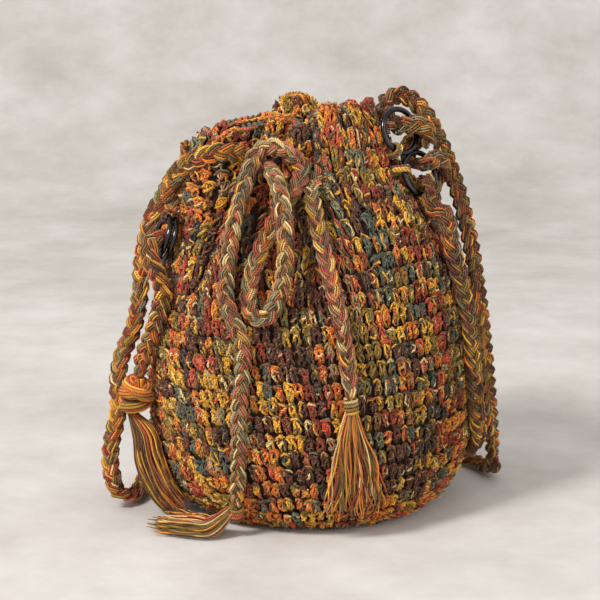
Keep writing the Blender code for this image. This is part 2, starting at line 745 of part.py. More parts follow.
def main():
    for stale in list(bpy.data.objects):
        bpy.data.objects.remove(stale, do_unlink=True)

    crochet = material("crochet_yarn", (0.30, 0.12, 0.04), 0.95)
    pale_braid = material("drawstring_yarn", (0.50, 0.26, 0.10), 0.9)
    strap_braid = material("strap_yarn", (0.34, 0.13, 0.03), 0.9)
    tassel_yarn = material("tassel_yarn", (0.60, 0.27, 0.05), 0.9)
    steel = material("dark_steel", (0.10, 0.10, 0.11), 0.2, 1.0)

    body = build_body(crochet)

    drawstring = cord_points(DRAWSTRING_FRONT_END + neck_route() + DRAWSTRING_LOOPS)
    add_cord("drawstring", drawstring, pale_braid)
    cut_passage(body, "drawstring_passage", inside_wall(drawstring), crochet)
    ends = (
        ("right", drawstring[::-1], wall_places(TASSEL_RIGHT)),
        ("left", drawstring, floor_places(TASSEL_LEFT)),
    )
    for side, points, places in ends:
        tie_end = TIE_LENGTH + END_GAP
        add_tie("drawstring_tie_" + side, beyond(points, END_GAP), beyond(points, tie_end), tassel_yarn)
        add_tassel("drawstring_tassel_" + side, points, tie_end + END_GAP, places, tassel_yarn)

    hitch = cord_points(hitch_route())
    add_cord("strap_hitch", hitch, strap_braid)
    strap = cord_points([beyond(hitch[::-1], END_GAP), beyond(hitch[::-1], LEAD_IN)] + STRAP_MAIN_RUN)
    add_cord("shoulder_strap", strap, strap_braid)
    cut_passage(body, "strap_eyelet", inside_wall(strap) + [beyond(strap, WALL * 4)], crochet)
    second = cord_points([beyond(hitch, END_GAP), beyond(hitch, LEAD_IN)] + STRAP_SECOND_RUN)
    add_cord("strap_second_run", second, strap_braid)
    cut_passage(body, "second_eyelet", inside_wall(second) + [beyond(second, WALL * 4)], crochet)

    left_end = cord_points(STRAP_LEFT_END)
    add_cord("strap_left_end", left_end, strap_braid)
    knot_end = KNOT_LENGTH + END_GAP
    add_knot("strap_knot", beyond(left_end, END_GAP), beyond(left_end, knot_end), strap_braid)
    add_tassel("strap_tassel", left_end, knot_end + END_GAP, wall_places(STRAP_TASSEL), tassel_yarn)

    for name, (centre, facing) in RINGS.items():
        add_ring(name, centre, facing, RING_RADIUS, RING_WIRE, steel)
    for name, (ring, angle, away, back) in TABS.items():
        centre, facing, right, up = ring_frame(ring)
        a = math.radians(angle)
        wire = centre + (right * math.cos(a) + up * math.sin(a)) * RING_RADIUS
        along_wire = up * math.cos(a) - right * math.sin(a)
        away = (Vector(away) - along_wire * along_wire.dot(Vector(away))).normalized()
        add_tab(name, wire - away * back, wire + away * TAB_HALF_WIDTH, along_wire, crochet)


main()
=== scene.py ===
"""Looks for the crocheted drawstring pouch, yarn by yarn.

The wall is made stitch by stitch, the cords are braided from strands of yarn, and the tassels,
wraps, knot and ring loops are yarn too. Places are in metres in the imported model's own frame.
Angles are azimuths in degrees from +X, so that 270 faces the camera.
"""

import math

import bpy
import numpy as np
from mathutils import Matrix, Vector


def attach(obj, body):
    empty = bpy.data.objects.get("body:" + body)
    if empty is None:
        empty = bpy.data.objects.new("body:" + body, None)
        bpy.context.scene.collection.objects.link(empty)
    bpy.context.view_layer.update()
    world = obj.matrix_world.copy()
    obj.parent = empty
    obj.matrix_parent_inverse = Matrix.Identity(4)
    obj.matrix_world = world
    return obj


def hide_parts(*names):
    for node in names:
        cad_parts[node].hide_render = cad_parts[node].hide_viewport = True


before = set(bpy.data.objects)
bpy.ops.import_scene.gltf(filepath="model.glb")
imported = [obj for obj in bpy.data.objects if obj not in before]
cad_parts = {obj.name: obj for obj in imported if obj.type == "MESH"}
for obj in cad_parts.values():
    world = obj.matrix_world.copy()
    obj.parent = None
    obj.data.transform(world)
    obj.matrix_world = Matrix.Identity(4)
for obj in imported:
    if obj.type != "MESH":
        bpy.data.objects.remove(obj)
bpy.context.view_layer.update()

SEED = 11

# The camera, from the photograph: what it looks at, how far off and how high it stands.
CAMERA_TARGET = (-0.0069, 0.0, 0.1275)
CAMERA_DISTANCE = 1.2
CAMERA_ELEVATION = 11.5
CAMERA_LENS = 114.3
CAMERA_SENSOR = 36.0

# The stage: the floor's edges, the backdrop's bend and top, and the soft lights, each with its
# place, size, power and colour.
STAGE_SIDE = 4.0
STAGE_FRONT = -2.5
STAGE_BACK = 1.9
STAGE_BEND = 0.9
STAGE_TOP = 3.2
STAGE_STEPS = 16
LIGHTS_TARGET = (0, 0, 0.1)
LIGHTS = (
    ("key_light", (-1.1, -1.2, 1.7), 0.55, 36, (1.0, 0.975, 0.95)),
    ("fill_light", (1.6, -1.2, 0.9), 1.6, 8, (1.0, 0.99, 0.98)),
)
SURROUND_COLOUR = (1.0, 0.99, 0.98, 1)
SURROUND_STRENGTH = 0.66

# The pouch's profile, radius and height, as in the CAD source.
PROFILE_KNOTS = [
    (0.062, 0.0),
    (0.0815, 0.0085),
    (0.0945, 0.028),
    (0.100, 0.066),
    (0.098, 0.124),
    (0.079, 0.186),
    (0.0575, 0.215),
    (0.0505, 0.232),
    (0.042, 0.243),
]
BASE_RADIUS = PROFILE_KNOTS[0][0]
SHOULDER_HEIGHT = 0.186
NECK_RADIUS = 0.0575
NECK_HEIGHT = 0.215
RIM_HEIGHT = 0.243
NECK_CREASE_RADIUS = 0.031
RIM_CREASE_RADIUS = 0.027
CREASE_START_HEIGHT = 0.118
CREASE_POWER = 1.9
GATHER_POWER = 2.0
GATHER_POWER_PER_DEGREE = 1 / 22
GATHER_ROUNDING = 0.8
LIFT_POWER = 1.3
ROW_PITCH = 0.0104
WALL = 0.0032
SLOPE_SPAN = 0.003

# Each gather: the azimuth of the crease that starts it, how far it swells, its top's lift and how
# far it spreads beyond the profile at the neck. Six tops are lower than in the CAD source.
GATHERS = np.array([
    (8, 0.95, -0.002, 0.000),
    (38, 0.88, -0.003, 0.000),
    (64, 0.75, 0.000, 0.000),
    (84, 1.00, 0.005, 0.000),
    (118, 0.92, -0.006, 0.000),
    (146, 0.88, -0.010, 0.008),
    (172, 1.00, -0.009, 0.022),
    (222, 0.80, 0.001, 0.000),
    (245, 0.72, -0.003, 0.000),
    (271, 1.00, 0.010, 0.000),
    (338, 0.72, -0.004, 0.000),
])

# The braided cords.
CORD_DIAMETER = 0.0094
LINE_STEP = 0.0023
BRAID_PITCH = 0.0225
BRAID_HALF_WIDTH = 0.0028
BRAID_HALF_DEPTH = 0.0019
FACE_EASE = 0.010
STRAND_PLIES = 9
STRAND_FLATNESS = 0.62
PLY_OUT = 0.0021
PLY_RADIUS = 0.00068
PLY_TURNS_PER_METRE = 14
STRAP_GIRTH = 1.14
BOUND_LENGTH = 0.011
BOUND_SHARE = 0.5
LEAD_IN = 0.0065

# A braid's flat face turns to the front where y falls below a value, and up where z does, each
# over a blend.
FRONT_FACE = (0.045, 0.03)
FLOOR_FACE = (0.022, 0.012)

# The metal rings.
RING_RADIUS = 0.0133
RING_WIRE = 0.0017
RING_STEPS = 80
RING_SIDES = 16
HITCH_WINDING = RING_WIRE + CORD_DIAMETER / 2 + 0.0010
HITCH_PITCH = 0.0275
HITCH_UPPER = (30, -20)
HITCH_LOWER = (85, -95)
HITCH_STEPS = 24

# Crochet: stitches round the wall, and how finely the wall's face is sampled for each. Two
# strands wind about each leg of a stitch.
STITCHES = 108
GRID = 4
START_AZIMUTH = 8
WALL_SAMPLES = 1441
STITCH_WIDTH = 0.0058
STRAND = 0.00080
STRAND_APART = 0.00060
STRAND_TURN = 4.6
RIM_YARN = 0.0014
STITCH_LEAN = -0.30
ROW_DRIFT = -0.42
ROW_WAVES = ((7, 0.5, 0.10), (19, 1.7, 0.08))
INSIDE_ROWS = 4
INSIDE_SHIFT = 31

# How far stitches stray: across in stitches, up in rows, out in metres, and as shares of a stitch's
# height and a strand's girth. Then the shares of flecked strands and a strand's shades at its ends.
ACROSS_STRAY = 0.15
UP_STRAY = 0.09
OUT_STRAY = 0.0003
STITCH_OUT_STRAY = 0.0008
HEIGHT_STRAY = 0.13
GIRTH_STRAY = 0.2
FLECKED = (0.22, 0.50)
STRAND_TONES = (0.55, 1.25)

# The chances that a stitch has the dye of the one before it, or else of the one below it.
DYE_GOES_ON = 0.18
DYE_FROM_BELOW = 0.20

# The rim's chain: two lanes of links beside the edge, and loops over it. Places are in stitches
# along, rows up and metres out.
LINK_LANES = ((0.0, 0.0012), (0.45, -WALL - 0.0008))
LINK_ALONG = np.array([-0.2, 0.15, 0.5, 0.85, 1.2])
LINK_UP = np.array([0.0, 0.1, 0.14, 0.1, 0.0])
LINK_DROP = 0.12
EDGE_ALONG = np.linspace(-0.2, 0.2, 5)
EDGE_UP = np.array([-0.2, 0.1, 0.18, 0.1, -0.2])
EDGE_OUT = np.array([0.0016, 0.0010, -WALL / 2, -WALL - 0.0008, -WALL - 0.0014])
RIM_ALONG_STRAY = 0.06
LINK_UP_STRAY = 0.03
EDGE_UP_STRAY = 0.05

# The base's stitches, and the closed shell behind all the stitches, dark as painted shade in their gaps: how
# far in from the wall's face its two faces are, and the heights that they stay above.
BASE_STITCH_WIDTH = 0.0062
BASE_HEIGHT = 0.0028
BACKING_FACES = ((0.0016, 0.0035), (WALL - 0.0006, 0.0055))

# The rim's ruffles: how many round it, and how far they swell out and up.
RUFFLES = 17
RUFFLE_OUT = 0.0028
RUFFLE_UP = 0.0024

# The round lobe at the back of the mouth. Its foot and poles are shares of its height: where its
# rows begin and end, and how near a pole a stitch may come.
KNOB_CENTRE = np.array([-0.0100, 0.0320, 0.2410])
KNOB_HALVES = np.array([0.0128, 0.0100, 0.0118])
KNOB_STITCHES = 14
KNOB_ROWS = 4
KNOB_FOOT = 0.08
KNOB_POLE = 0.02
KNOB_CORE_DEPTH = 0.0022
KNOB_CORE_STEPS = 17

# One stitch: two legs that bow apart, a bar wound across them, and the loop at their head. Each has
# its points' shares of the stitch's width, their shares of the row's height, and how far out they are.
STITCH_PARTS = np.array([
    [[0.46, 0.31, 0.26, 0.34, 0.6], [-0.1, 0.18, 0.46, 0.74, 0.98], [-16e-4, 2e-4, 12e-4, 14e-4, 0.0]],
    [[0.6, 0.72, 0.74, 0.64, 0.4], [-0.08, 0.2, 0.48, 0.76, 0.98], [-16e-4, 2e-4, 10e-4, 13e-4, 1e-4]],
    [[0.14, 0.3, 0.52, 0.72, 0.86], [0.3, 0.38, 0.5, 0.62, 0.72], [-6e-4, 16e-4, 24e-4, 16e-4, -5e-4]],
    [[0.02, 0.22, 0.5, 0.78, 1.02], [0.72, 0.92, 1.02, 0.94, 0.76], [-4e-4, 12e-4, 19e-4, 13e-4, -3e-4]],
])
STITCH_POINTS = STITCH_PARTS.shape[-1]

# Dyes of the yarn as sRGB colours, and how often each turns up in each kind of yarn.
DYES = {
    "gold": (244, 180, 58),
    "amber": (236, 132, 50),
    "coral": (214, 90, 62),
    "brick": (158, 58, 40),
    "maroon": (98, 52, 46),
    "charcoal": (64, 54, 52),
    "teal": (84, 100, 90),
    "sage": (128, 128, 100),
    "olive": (156, 124, 48),
    "tan": (190, 150, 106),
    "cream": (238, 206, 140),
    "rose": (186, 102, 78),
    "umber": (112, 74, 50),
}
WALL_DYES = {
    "gold": 0.15, "amber": 0.15, "coral": 0.12, "brick": 0.10, "maroon": 0.18,
    "charcoal": 0.07, "teal": 0.09, "sage": 0.03, "olive": 0.09, "tan": 0.02,
}
FLECK_DYES = {
    "gold": 0.20, "cream": 0.14, "coral": 0.08, "brick": 0.08, "umber": 0.20,
    "charcoal": 0.10, "sage": 0.08, "olive": 0.12,
}
PALE_DYES = {
    "cream": 0.13, "rose": 0.24, "sage": 0.16, "tan": 0.05, "umber": 0.17,
    "gold": 0.08, "coral": 0.09, "olive": 0.08,
}
WARM_DYES = {
    "gold": 0.18, "amber": 0.17, "olive": 0.15, "umber": 0.18, "brick": 0.13,
    "coral": 0.08, "sage": 0.07, "cream": 0.04,
}
DARK_DYES = {
    "umber": 0.25, "olive": 0.18, "maroon": 0.18, "amber": 0.12, "brick": 0.12,
    "gold": 0.08, "sage": 0.07,
}
TASSEL_DYES = {
    "gold": 0.19, "cream": 0.17, "amber": 0.13, "coral": 0.11, "olive": 0.12,
    "sage": 0.10, "brick": 0.09, "umber": 0.09,
}
KNOT_DYES = {"gold": 0.30, "amber": 0.42, "coral": 0.12, "brick": 0.10, "olive": 0.06}
EMBER_DYES = {"gold": 0.14, "amber": 0.26, "brick": 0.17, "umber": 0.16, "maroon": 0.15, "olive": 0.12}

# The pale fibres in the yarn, which stand partly for painted highlights, as an sRGB colour, and how fine its
# streaks are along it.
PALE_FIBRE_AND_HIGHLIGHT = (244, 212, 156)
STREAKS_PER_METRE = 170.0

# How long a dye runs along a yarn, at least and at most, how far it blends into the next, and how
# dark and how light a yarn may be.
DYE_RUNS = (0.014, 0.045)
TASSEL_RUNS = (0.02, 0.09)
KNOT_RUNS = (0.02, 0.06)
DYE_BLEND = 0.003
YARN_TONES = (0.42, 1.38)

rng = np.random.default_rng(SEED)


# Lines and the wall's surface.


def smooth_line(knots, step):
    """Points about step apart on a centripetal Catmull-Rom curve through the knots."""
    knots = np.array(knots, float)
    knots = np.vstack([2 * knots[0] - knots[1], knots, 2 * knots[-1] - knots[-2]])
    made = [knots[1]]
    for a, b, c, d in zip(knots, knots[1:], knots[2:], knots[3:]):
        gaps = [math.sqrt(np.linalg.norm(q - p)) for p, q in ((a, b), (b, c), (c, d))]
        t = np.concatenate([[0], np.cumsum(gaps)])
        count = max(1, round(np.linalg.norm(c - b) / step))
        for u in np.linspace(t[1], t[2], count + 1)[1:]:
            ab = a + (b - a) * (u - t[0]) / (t[1] - t[0])
            bc = b + (c - b) * (u - t[1]) / (t[2] - t[1])
            cd = c + (d - c) * (u - t[2]) / (t[3] - t[2])
            abc = ab + (bc - ab) * (u - t[0]) / (t[2] - t[0])
            bcd = bc + (cd - bc) * (u - t[1]) / (t[3] - t[1])
            made.append(abc + (bcd - abc) * (u - t[1]) / (t[2] - t[1]))
    return np.array(made)


def unit(vectors):
    """The same vectors, one long."""
    return vectors / np.maximum(np.linalg.norm(vectors, axis=-1, keepdims=True), 1e-9)


def run_along(line):
    """How far along a line each of its points is."""
    steps = np.linalg.norm(np.diff(line, axis=-2), axis=-1)
    start = np.zeros(steps.shape[:-1] + (1,))
    return np.concatenate([start, np.cumsum(steps, axis=-1)], axis=-1)


def taken_at(places, known, rows):
    """Rows of numbers at some places, eased between the rows known."""
    return np.column_stack([np.interp(places, known, row) for row in rows.T])


def square_to(run, vectors):
    """Unit vectors nearest the given ones among those square to a run."""
    return unit(vectors - run * (run * vectors).sum(-1, keepdims=True))


def wound_out(run, angle):
    """Directions square to a straight run, at some angles round it."""
    side = np.array(Vector(run).orthogonal().normalized())
    return side * np.cos(angle) + np.cross(run, side) * np.sin(angle)


PROFILE = smooth_line(PROFILE_KNOTS, 0.001)
UP_THE_WALL = run_along(PROFILE)
ROWS = round(UP_THE_WALL[-1] / ROW_PITCH)


def near_wall(azimuth, height, out):
    """A point at a distance out from the profile, square to it, above the place at a height."""
    heights = [height - SLOPE_SPAN, height, height + SLOPE_SPAN]
    low, radius, high = np.interp(heights, PROFILE[:, 1], PROFILE[:, 0])
    run = np.array([2 * SLOPE_SPAN, low - high])
    run /= np.linalg.norm(run)
    radius += out * run[0]
    a = math.radians(azimuth)
    return (radius * math.cos(a), radius * math.sin(a), height + out * run[1])


def along_wall(*places):
    """Points by the wall, from an azimuth, a height and a distance out for each."""
    return [near_wall(*place) for place in places]


def off_wall(azimuth, height):
    """The direction square off the profile at a place."""
    return tuple(np.subtract(near_wall(azimuth, height, 1.0), near_wall(azimuth, height, 0.0)))


def by_neck(azimuth, out, rise):
    """A point beyond the neck's radius by some way and above the neck's height by some rise."""
    a = math.radians(azimuth)
    reach = NECK_RADIUS + out
    return (reach * math.cos(a), reach * math.sin(a), NECK_HEIGHT + rise)


def wall_points(azimuths, up):
    """Points of the wall's outer face at some azimuths, at one length up the wall."""
    radius = np.interp(up, UP_THE_WALL, PROFILE[:, 0])
    height = np.full(len(azimuths), np.interp(up, UP_THE_WALL, PROFILE[:, 1]))
    starts = GATHERS[:, 0]
    widths = (np.roll(starts, -1) - starts) % 360
    which = (np.searchsorted(starts, azimuths % 360, side="right") - 1) % len(starts)
    across = np.clip(2 * ((azimuths - starts[which]) % 360) / widths[which] - 1, -1, 1)
    power = GATHER_POWER + widths[which] * GATHER_POWER_PER_DEGREE
    swell = (1 - np.abs(across) ** power) ** GATHER_ROUNDING
    pull = np.clip((height - CREASE_START_HEIGHT) / (NECK_HEIGHT - CREASE_START_HEIGHT), 0, 1)
    above_neck = np.clip((height - NECK_HEIGHT) / (RIM_HEIGHT - NECK_HEIGHT), 0, 1)
    crease = NECK_CREASE_RADIUS + (RIM_CREASE_RADIUS - NECK_CREASE_RADIUS) * above_neck
    creased = radius + (np.minimum(crease, radius) - radius) * pull**CREASE_POWER
    spread = np.clip((height - SHOULDER_HEIGHT) / (NECK_HEIGHT - SHOULDER_HEIGHT), 0, 1)
    radius = creased + swell * ((radius - creased) * GATHERS[which, 1] + GATHERS[which, 3] * spread)
    height = height + swell * GATHERS[which, 2] * above_neck**LIFT_POWER
    turns = np.radians(azimuths)
    ruffle = np.sin(RUFFLES * turns) * above_neck * swell
    radius = radius + RUFFLE_OUT * ruffle
    height = height + RUFFLE_UP * ruffle * above_neck
    return np.stack([radius * np.cos(turns), radius * np.sin(turns), height], axis=1)


def wall_grid():
    """A grid over the wall's outer face, evenly spaced within each gather, and its normals."""
    turns = np.linspace(0, 360, WALL_SAMPLES)
    share = np.arange(STITCHES * GRID) / (STITCHES * GRID)
    creases = np.append(GATHERS[:, 0] - START_AZIMUTH, 360)
    rows = []
    for up in np.linspace(0, UP_THE_WALL[-1], ROWS * GRID + 1):
        run = run_along(wall_points(turns + START_AZIMUTH, up))
        placed = np.interp(run, np.interp(creases, turns, run), creases)
        rows.append(wall_points(np.interp(share * 360, placed, turns) + START_AZIMUTH, up))
    points = np.array(rows)
    across = np.roll(points, -1, axis=1) - np.roll(points, 1, axis=1)
    normals = unit(np.cross(across, np.gradient(points, axis=0)))
    for _ in range(2):
        normals = unit(np.roll(normals, -1, axis=1) + 2 * normals + np.roll(normals, 1, axis=1))
    return points, normals


WALL_POINTS, WALL_NORMALS = wall_grid()


def on_wall(u, v, out):
    """Points so many stitches round and rows up the wall, out from its face, and the normals."""
    i = (u % STITCHES) * GRID
    j = np.clip(v, 0, ROWS) * GRID
    left = np.floor(i).astype(int)
    low = np.minimum(np.floor(j).astype(int), ROWS * GRID - 1)
    fi, fj = (i - left)[..., None], (j - low)[..., None]
    left %= STITCHES * GRID
    right = (left + 1) % (STITCHES * GRID)

    def mixed(grid):
        below = grid[low, left] * (1 - fi) + grid[low, right] * fi
        above = grid[low + 1, left] * (1 - fi) + grid[low + 1, right] * fi
        return below * (1 - fj) + above * fj

    normals = unit(mixed(WALL_NORMALS))
    spots = mixed(WALL_POINTS) + normals * out[..., None]
    spots[..., 2] += np.maximum(v - ROWS, 0) * ROW_PITCH
    spots[..., 2] = np.maximum(spots[..., 2], STRAND * 1.2)
    return spots, normals


# Dyes.


def linear(colour):
    """An sRGB colour of 0 to 255 as linear light."""
    c = np.array(colour, float) / 255
    return np.where(c <= 0.04045, c / 12.92, ((c + 0.055) / 1.055) ** 2.4)


def draw_dyes(dyes, count):
    """So many dye colours drawn at random, by how often each turns up."""
    colours = np.array([linear(DYES[name]) for name in dyes])
    weights = np.array(list(dyes.values()))
    return colours[rng.choice(len(colours), size=count, p=weights / weights.sum())]


def space_dyed(along, dyes, shortest=DYE_RUNS[0], longest=DYE_RUNS[1]):
    """Colours for yarns, one row of lengths along for each: runs of dyes that blend at their ends."""
    made = []
    for run in along:
        cuts = np.cumsum(rng.uniform(shortest, longest, 2 + int(run[-1] / shortest)))
        shades = draw_dyes(dyes, len(cuts) + 1)
        at = np.ravel(np.column_stack([cuts - DYE_BLEND, cuts + DYE_BLEND]))
        spread = np.repeat(shades, 2, axis=0)[1:-1]
        tone = rng.uniform(*YARN_TONES)
        made.append(taken_at(run, at, spread) * tone)
    return np.array(made)


# Yarn meshes.


class Yarns:
    """Tubes of yarn that are collected and then made into one mesh."""

    def __init__(self, sides=5):
        self.sides = sides
        self.spots, self.threads, self.dyes, self.loops, self.starts = [], [], [], [], []
        self.spot_count = 0
        self.loop_count = 0

    def add(self, paths, normals, radius, dyes):
        """Adds a tube along each path. All the paths have the same number of points."""
        many, points = paths.shape[:2]
        sides = self.sides
        run = unit(np.gradient(paths, axis=1))
        side = unit(np.cross(run, normals))
        up = np.cross(side, run)
        turns = 2 * np.pi * np.arange(sides) / sides
        girth = np.broadcast_to(np.asarray(radius, float), (many, points))[..., None, None]
        around = side[:, :, None] * np.cos(turns)[:, None] + up[:, :, None] * np.sin(turns)[:, None]
        self.spots.append((paths[:, :, None] + around * girth).reshape(-1, 3))

        along = run_along(paths) + rng.random((many, 1))
        thread = np.empty((many, points, sides, 3))
        thread[..., 0] = np.cos(turns)
        thread[..., 1] = np.sin(turns)
        thread[..., 2] = along[..., None]
        self.threads.append(thread.reshape(-1, 3))
        dyes = np.broadcast_to(dyes, (many, points, 3))
        self.dyes.append(np.repeat(dyes.reshape(-1, 3), sides, axis=0))

        first = (np.arange(many)[:, None] * points + np.arange(points - 1)) * sides
        k = np.arange(sides)
        low, low_next = first[..., None] + k, first[..., None] + (k + 1) % sides
        quads = np.stack([low, low + sides, low_next + sides, low_next], axis=-1).reshape(-1, 4)
        start_caps = np.arange(many)[:, None] * points * sides + k
        end_caps = start_caps[:, ::-1] + (points - 1) * sides
        for faces in (quads, start_caps, end_caps):
            self.loops.append(faces.ravel() + self.spot_count)
            self.starts.append(self.loop_count + np.arange(len(faces)) * faces.shape[1])
            self.loop_count += faces.size
        self.spot_count += many * points * sides

    def make(self, name, material, node):
        """Makes the mesh, as a piece that stands for a CAD node."""
        spots = np.concatenate(self.spots)
        loops = np.concatenate(self.loops)
        starts = np.concatenate(self.starts)
        mesh = bpy.data.meshes.new(name)
        mesh.vertices.add(len(spots))
        mesh.vertices.foreach_set("co", spots.ravel())
        mesh.loops.add(len(loops))
        mesh.loops.foreach_set("vertex_index", loops.astype(np.int32))
        mesh.polygons.add(len(starts))
        mesh.polygons.foreach_set("loop_start", starts.astype(np.int32))
        thread = mesh.attributes.new("thread", "FLOAT_VECTOR", "POINT")
        thread.data.foreach_set("vector", np.concatenate(self.threads).ravel())
        dye = mesh.attributes.new("dye", "FLOAT_COLOR", "POINT")
        colours = np.concatenate(self.dyes)
        dye.data.foreach_set("color", np.column_stack([colours, np.ones(len(colours))]).ravel())
        mesh.update(calc_edges=True)
        mesh.shade_smooth()
        return add_piece(name, mesh, material, node)


def add_object(name, data, place=(0, 0, 0), heading=None):
    """An object in the scene at a place, which looks along a heading if one is given."""
    made = bpy.data.objects.new(name, data)
    made.location = place
    if heading:
        made.rotation_mode = "QUATERNION"
        made.rotation_quaternion = heading.to_track_quat("-Z", "Y")
    bpy.context.scene.collection.objects.link(made)
    return made


def add_piece(name, mesh, material, node, body="root"):
    """An object for a finished mesh, with its material and body, in place of the node it stands for, which is
    hidden.
    """
    mesh.materials.append(material)
    piece = add_object(name, mesh)
    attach(piece, body)
    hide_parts(node)
    return piece


def face_mesh(name, spots, faces, smooth=True):
    """A mesh of points and faces."""
    mesh = bpy.data.meshes.new(name)
    mesh.from_pydata(np.reshape(spots, (-1, 3)).tolist(), [], faces)
    mesh.update()
    if smooth:
        mesh.shade_smooth()
    return mesh


def faces_round(rows, columns):
    """The faces of a grid of points whose rows are closed rings."""
    faces = []
    for i in range(rows - 1):
        for k in range(columns):
            low, low_next = i * columns + k, i * columns + (k + 1) % columns
            faces.append((low, low_next, low_next + columns, low + columns))
    return faces


# Materials.


class Nodes:
    """A new material's node tree, with short ways to add and link nodes."""

    def __init__(self, name):
        self.material = bpy.data.materials.new(name)
        self.material.use_nodes = True
        self.tree = self.material.node_tree
        self.shader = self.tree.nodes["Principled BSDF"]

    def put(self, node, values):
        """Sets a node's inputs, each to a constant or to the output of another node."""
        for name, value in values.items():
            if isinstance(value, bpy.types.NodeSocket):
                self.tree.links.new(value, node.inputs[name])
            else:
                node.inputs[name].default_value = value

    def add(self, kind, output, values=(), **settings):
        """The output of a new node with some settings and inputs."""
        node = self.tree.nodes.new("ShaderNode" + kind)
        for key, value in settings.items():
            setattr(node, key, value)
        self.put(node, dict(values))
        return node.outputs[output]

    def math(self, operation, *values):
        return self.add("Math", 0, enumerate(values), operation=operation)

    def noise(self, scale, detail, roughness, vector):
        values = {"Scale": scale, "Detail": detail, "Roughness": roughness, "Vector": vector}
        return self.add("TexNoise", "Fac", values)

    def coordinates(self):
        return self.add("TexCoord", "Object")

    def ranged(self, value, start, end, low, high):
        """A value moved from the range of start to end into the range of low to high."""
        values = {"Value": value, "From Min": start, "From Max": end, "To Min": low, "To Max": high}
        return self.add("MapRange", 0, values)

    def ramp(self, value, low, dark, high, light):
        """The dark colour below the low value, the light one above the high value, and between."""
        colour = self.add("ValToRGB", "Color", {"Fac": value})
        ends = colour.node.color_ramp.elements
        ends[0].position = low
        ends[0].color = (*dark, 1)
        ends[1].position = high
        ends[1].color = (*light, 1)
        return colour

    def mix(self, factor, a, b, blend_type="MIX"):
        values = {"Factor": factor, "A": a, "B": b}
        return self.add("Mix", "Result", values, data_type="RGBA", blend_type=blend_type)

    def bump(self, height, strength, distance):
        """Links a height to the shader through a Bump node."""
        values = {"Height": height, "Strength": strength, "Distance": distance}
        self.put(self.shader, {"Normal": self.add("Bump", "Normal", values)})

    def made(self, values):
        """The material, with some of the shader's inputs set."""
        self.put(self.shader, values)
        return self.material


def yarn_material(name, twist):
    """Wool spun from plies: helical streaks, grooves darker as painted shade, streaks lighter and darker
    partly as painted highlights and shade, pale fibres caught in it that are partly painted highlights, and
    fuzz.
    """
    n = Nodes(name)
    thread = n.add("Attribute", "Vector", attribute_name="thread")
    across, up, along = [n.add("SeparateXYZ", axis, {0: thread}) for axis in range(3)]
    wound = n.math("ADD", n.math("ARCTAN2", up, across), n.math("MULTIPLY", along, 2 * math.pi / twist))
    # The ply grooves also darken the colour below as painted shade, besides their bump.
    groove = n.math("MULTIPLY", n.math("SINE", n.math("MULTIPLY", wound, 2.0)), 0.5)
    ply = n.math("MULTIPLY", n.math("ADD", groove, 0.5), 0.5)
    place = n.add("CombineXYZ", 0, {
        "X": n.math("COSINE", wound),
        "Y": n.math("SINE", wound),
        "Z": n.math("MULTIPLY", along, STREAKS_PER_METRE),
    })
    streaks = n.noise(2.6, 3.0, 0.65, place)
    pale_spots = n.noise(1.9, 2.0, 0.5, place)
    fibres = n.math("MULTIPLY", n.noise(2400.0, 2.0, 0.7, n.coordinates()), 0.5)
    height = n.math("ADD", ply, n.math("MULTIPLY", streaks, 1.3))
    n.bump(n.math("ADD", height, fibres), 1.0, 0.0005)
    total = n.math("ADD", ply, n.math("ADD", streaks, fibres))
    # The dye is scaled from far darker to far lighter than its own tone: painted shade in the ply grooves and
    # between streaks, painted highlights along them, with random streaky tone.
    shade = n.ranged(total, 0.55, 1.75, 0.08, 3.2)
    dye = n.add("Attribute", "Color", attribute_name="dye")
    # Pale fibres mixed in at random spots, partly as painted highlights on the strands.
    pale = n.ranged(pale_spots, 0.56, 0.70, 0.0, 0.62)
    return n.made({
        "Base Color": n.mix(pale, n.mix(1.0, dye, shade, "MULTIPLY"), (*linear(PALE_FIBRE_AND_HIGHLIGHT), 1)),
        "Roughness": 0.85,
        "Specular IOR Level": 0.25,
        "Sheen Weight": 0.14,
        "Sheen Roughness": 0.4,
        "Sheen Tint": (1.0, 0.85, 0.65, 1.0),
    })


def shade_backing_material():
    """Painted shade for the gaps between the stitches: a dark, uneven and rough colour for the shell behind
    them.
    """
    n = Nodes("crochet_shade_backing")
    place = n.coordinates()
    lumps = n.noise(190.0, 4.0, 0.7, place)
    # Dark browns that paint the shade falling in the gaps between the stitches.
    colour = n.ramp(lumps, 0.3, linear((26, 17, 14)), 0.75, linear((72, 44, 30)))
    n.bump(n.noise(700.0, 4.0, 0.7, place), 0.8, 0.0008)
    return n.made({"Base Color": colour, "Roughness": 0.95})


def steel_material():
    """Polished dark metal with faint turning marks and smudges."""
    n = Nodes("dark_steel_polished")
    place = n.coordinates()
    smudges = n.noise(160.0, 4.0, 0.6, place)
    colour = n.ramp(smudges, 0.35, (0.022, 0.022, 0.025), 0.7, (0.06, 0.06, 0.066))
    gloss = n.ranged(n.noise(900.0, 3.0, 0.7, place), 0.0, 1.0, 0.10, 0.26)
    n.bump(n.noise(1500.0, 2.0, 0.5, place), 0.08, 0.0002)
    return n.made({
        "Base Color": colour,
        "Roughness": gloss,
        "Metallic": 1.0,
        "Coat Weight": 0.5,
        "Coat Roughness": 0.06,
    })


def plaster_material():
    """A pale warm plaster surface with soft mottling, for the floor and backdrop."""
    n = Nodes("stage_plaster")
    place = n.coordinates()
    clouds = n.noise(6.5, 8.0, 0.68, place)
    colour = n.ramp(clouds, 0.32, linear((200, 195, 189)), 0.66, linear((230, 227, 223)))
    n.bump(n.noise(40.0, 5.0, 0.6, place), 0.06, 0.002)
    return n.made({"Base Color": colour, "Roughness": 0.9})


# Braided cords.


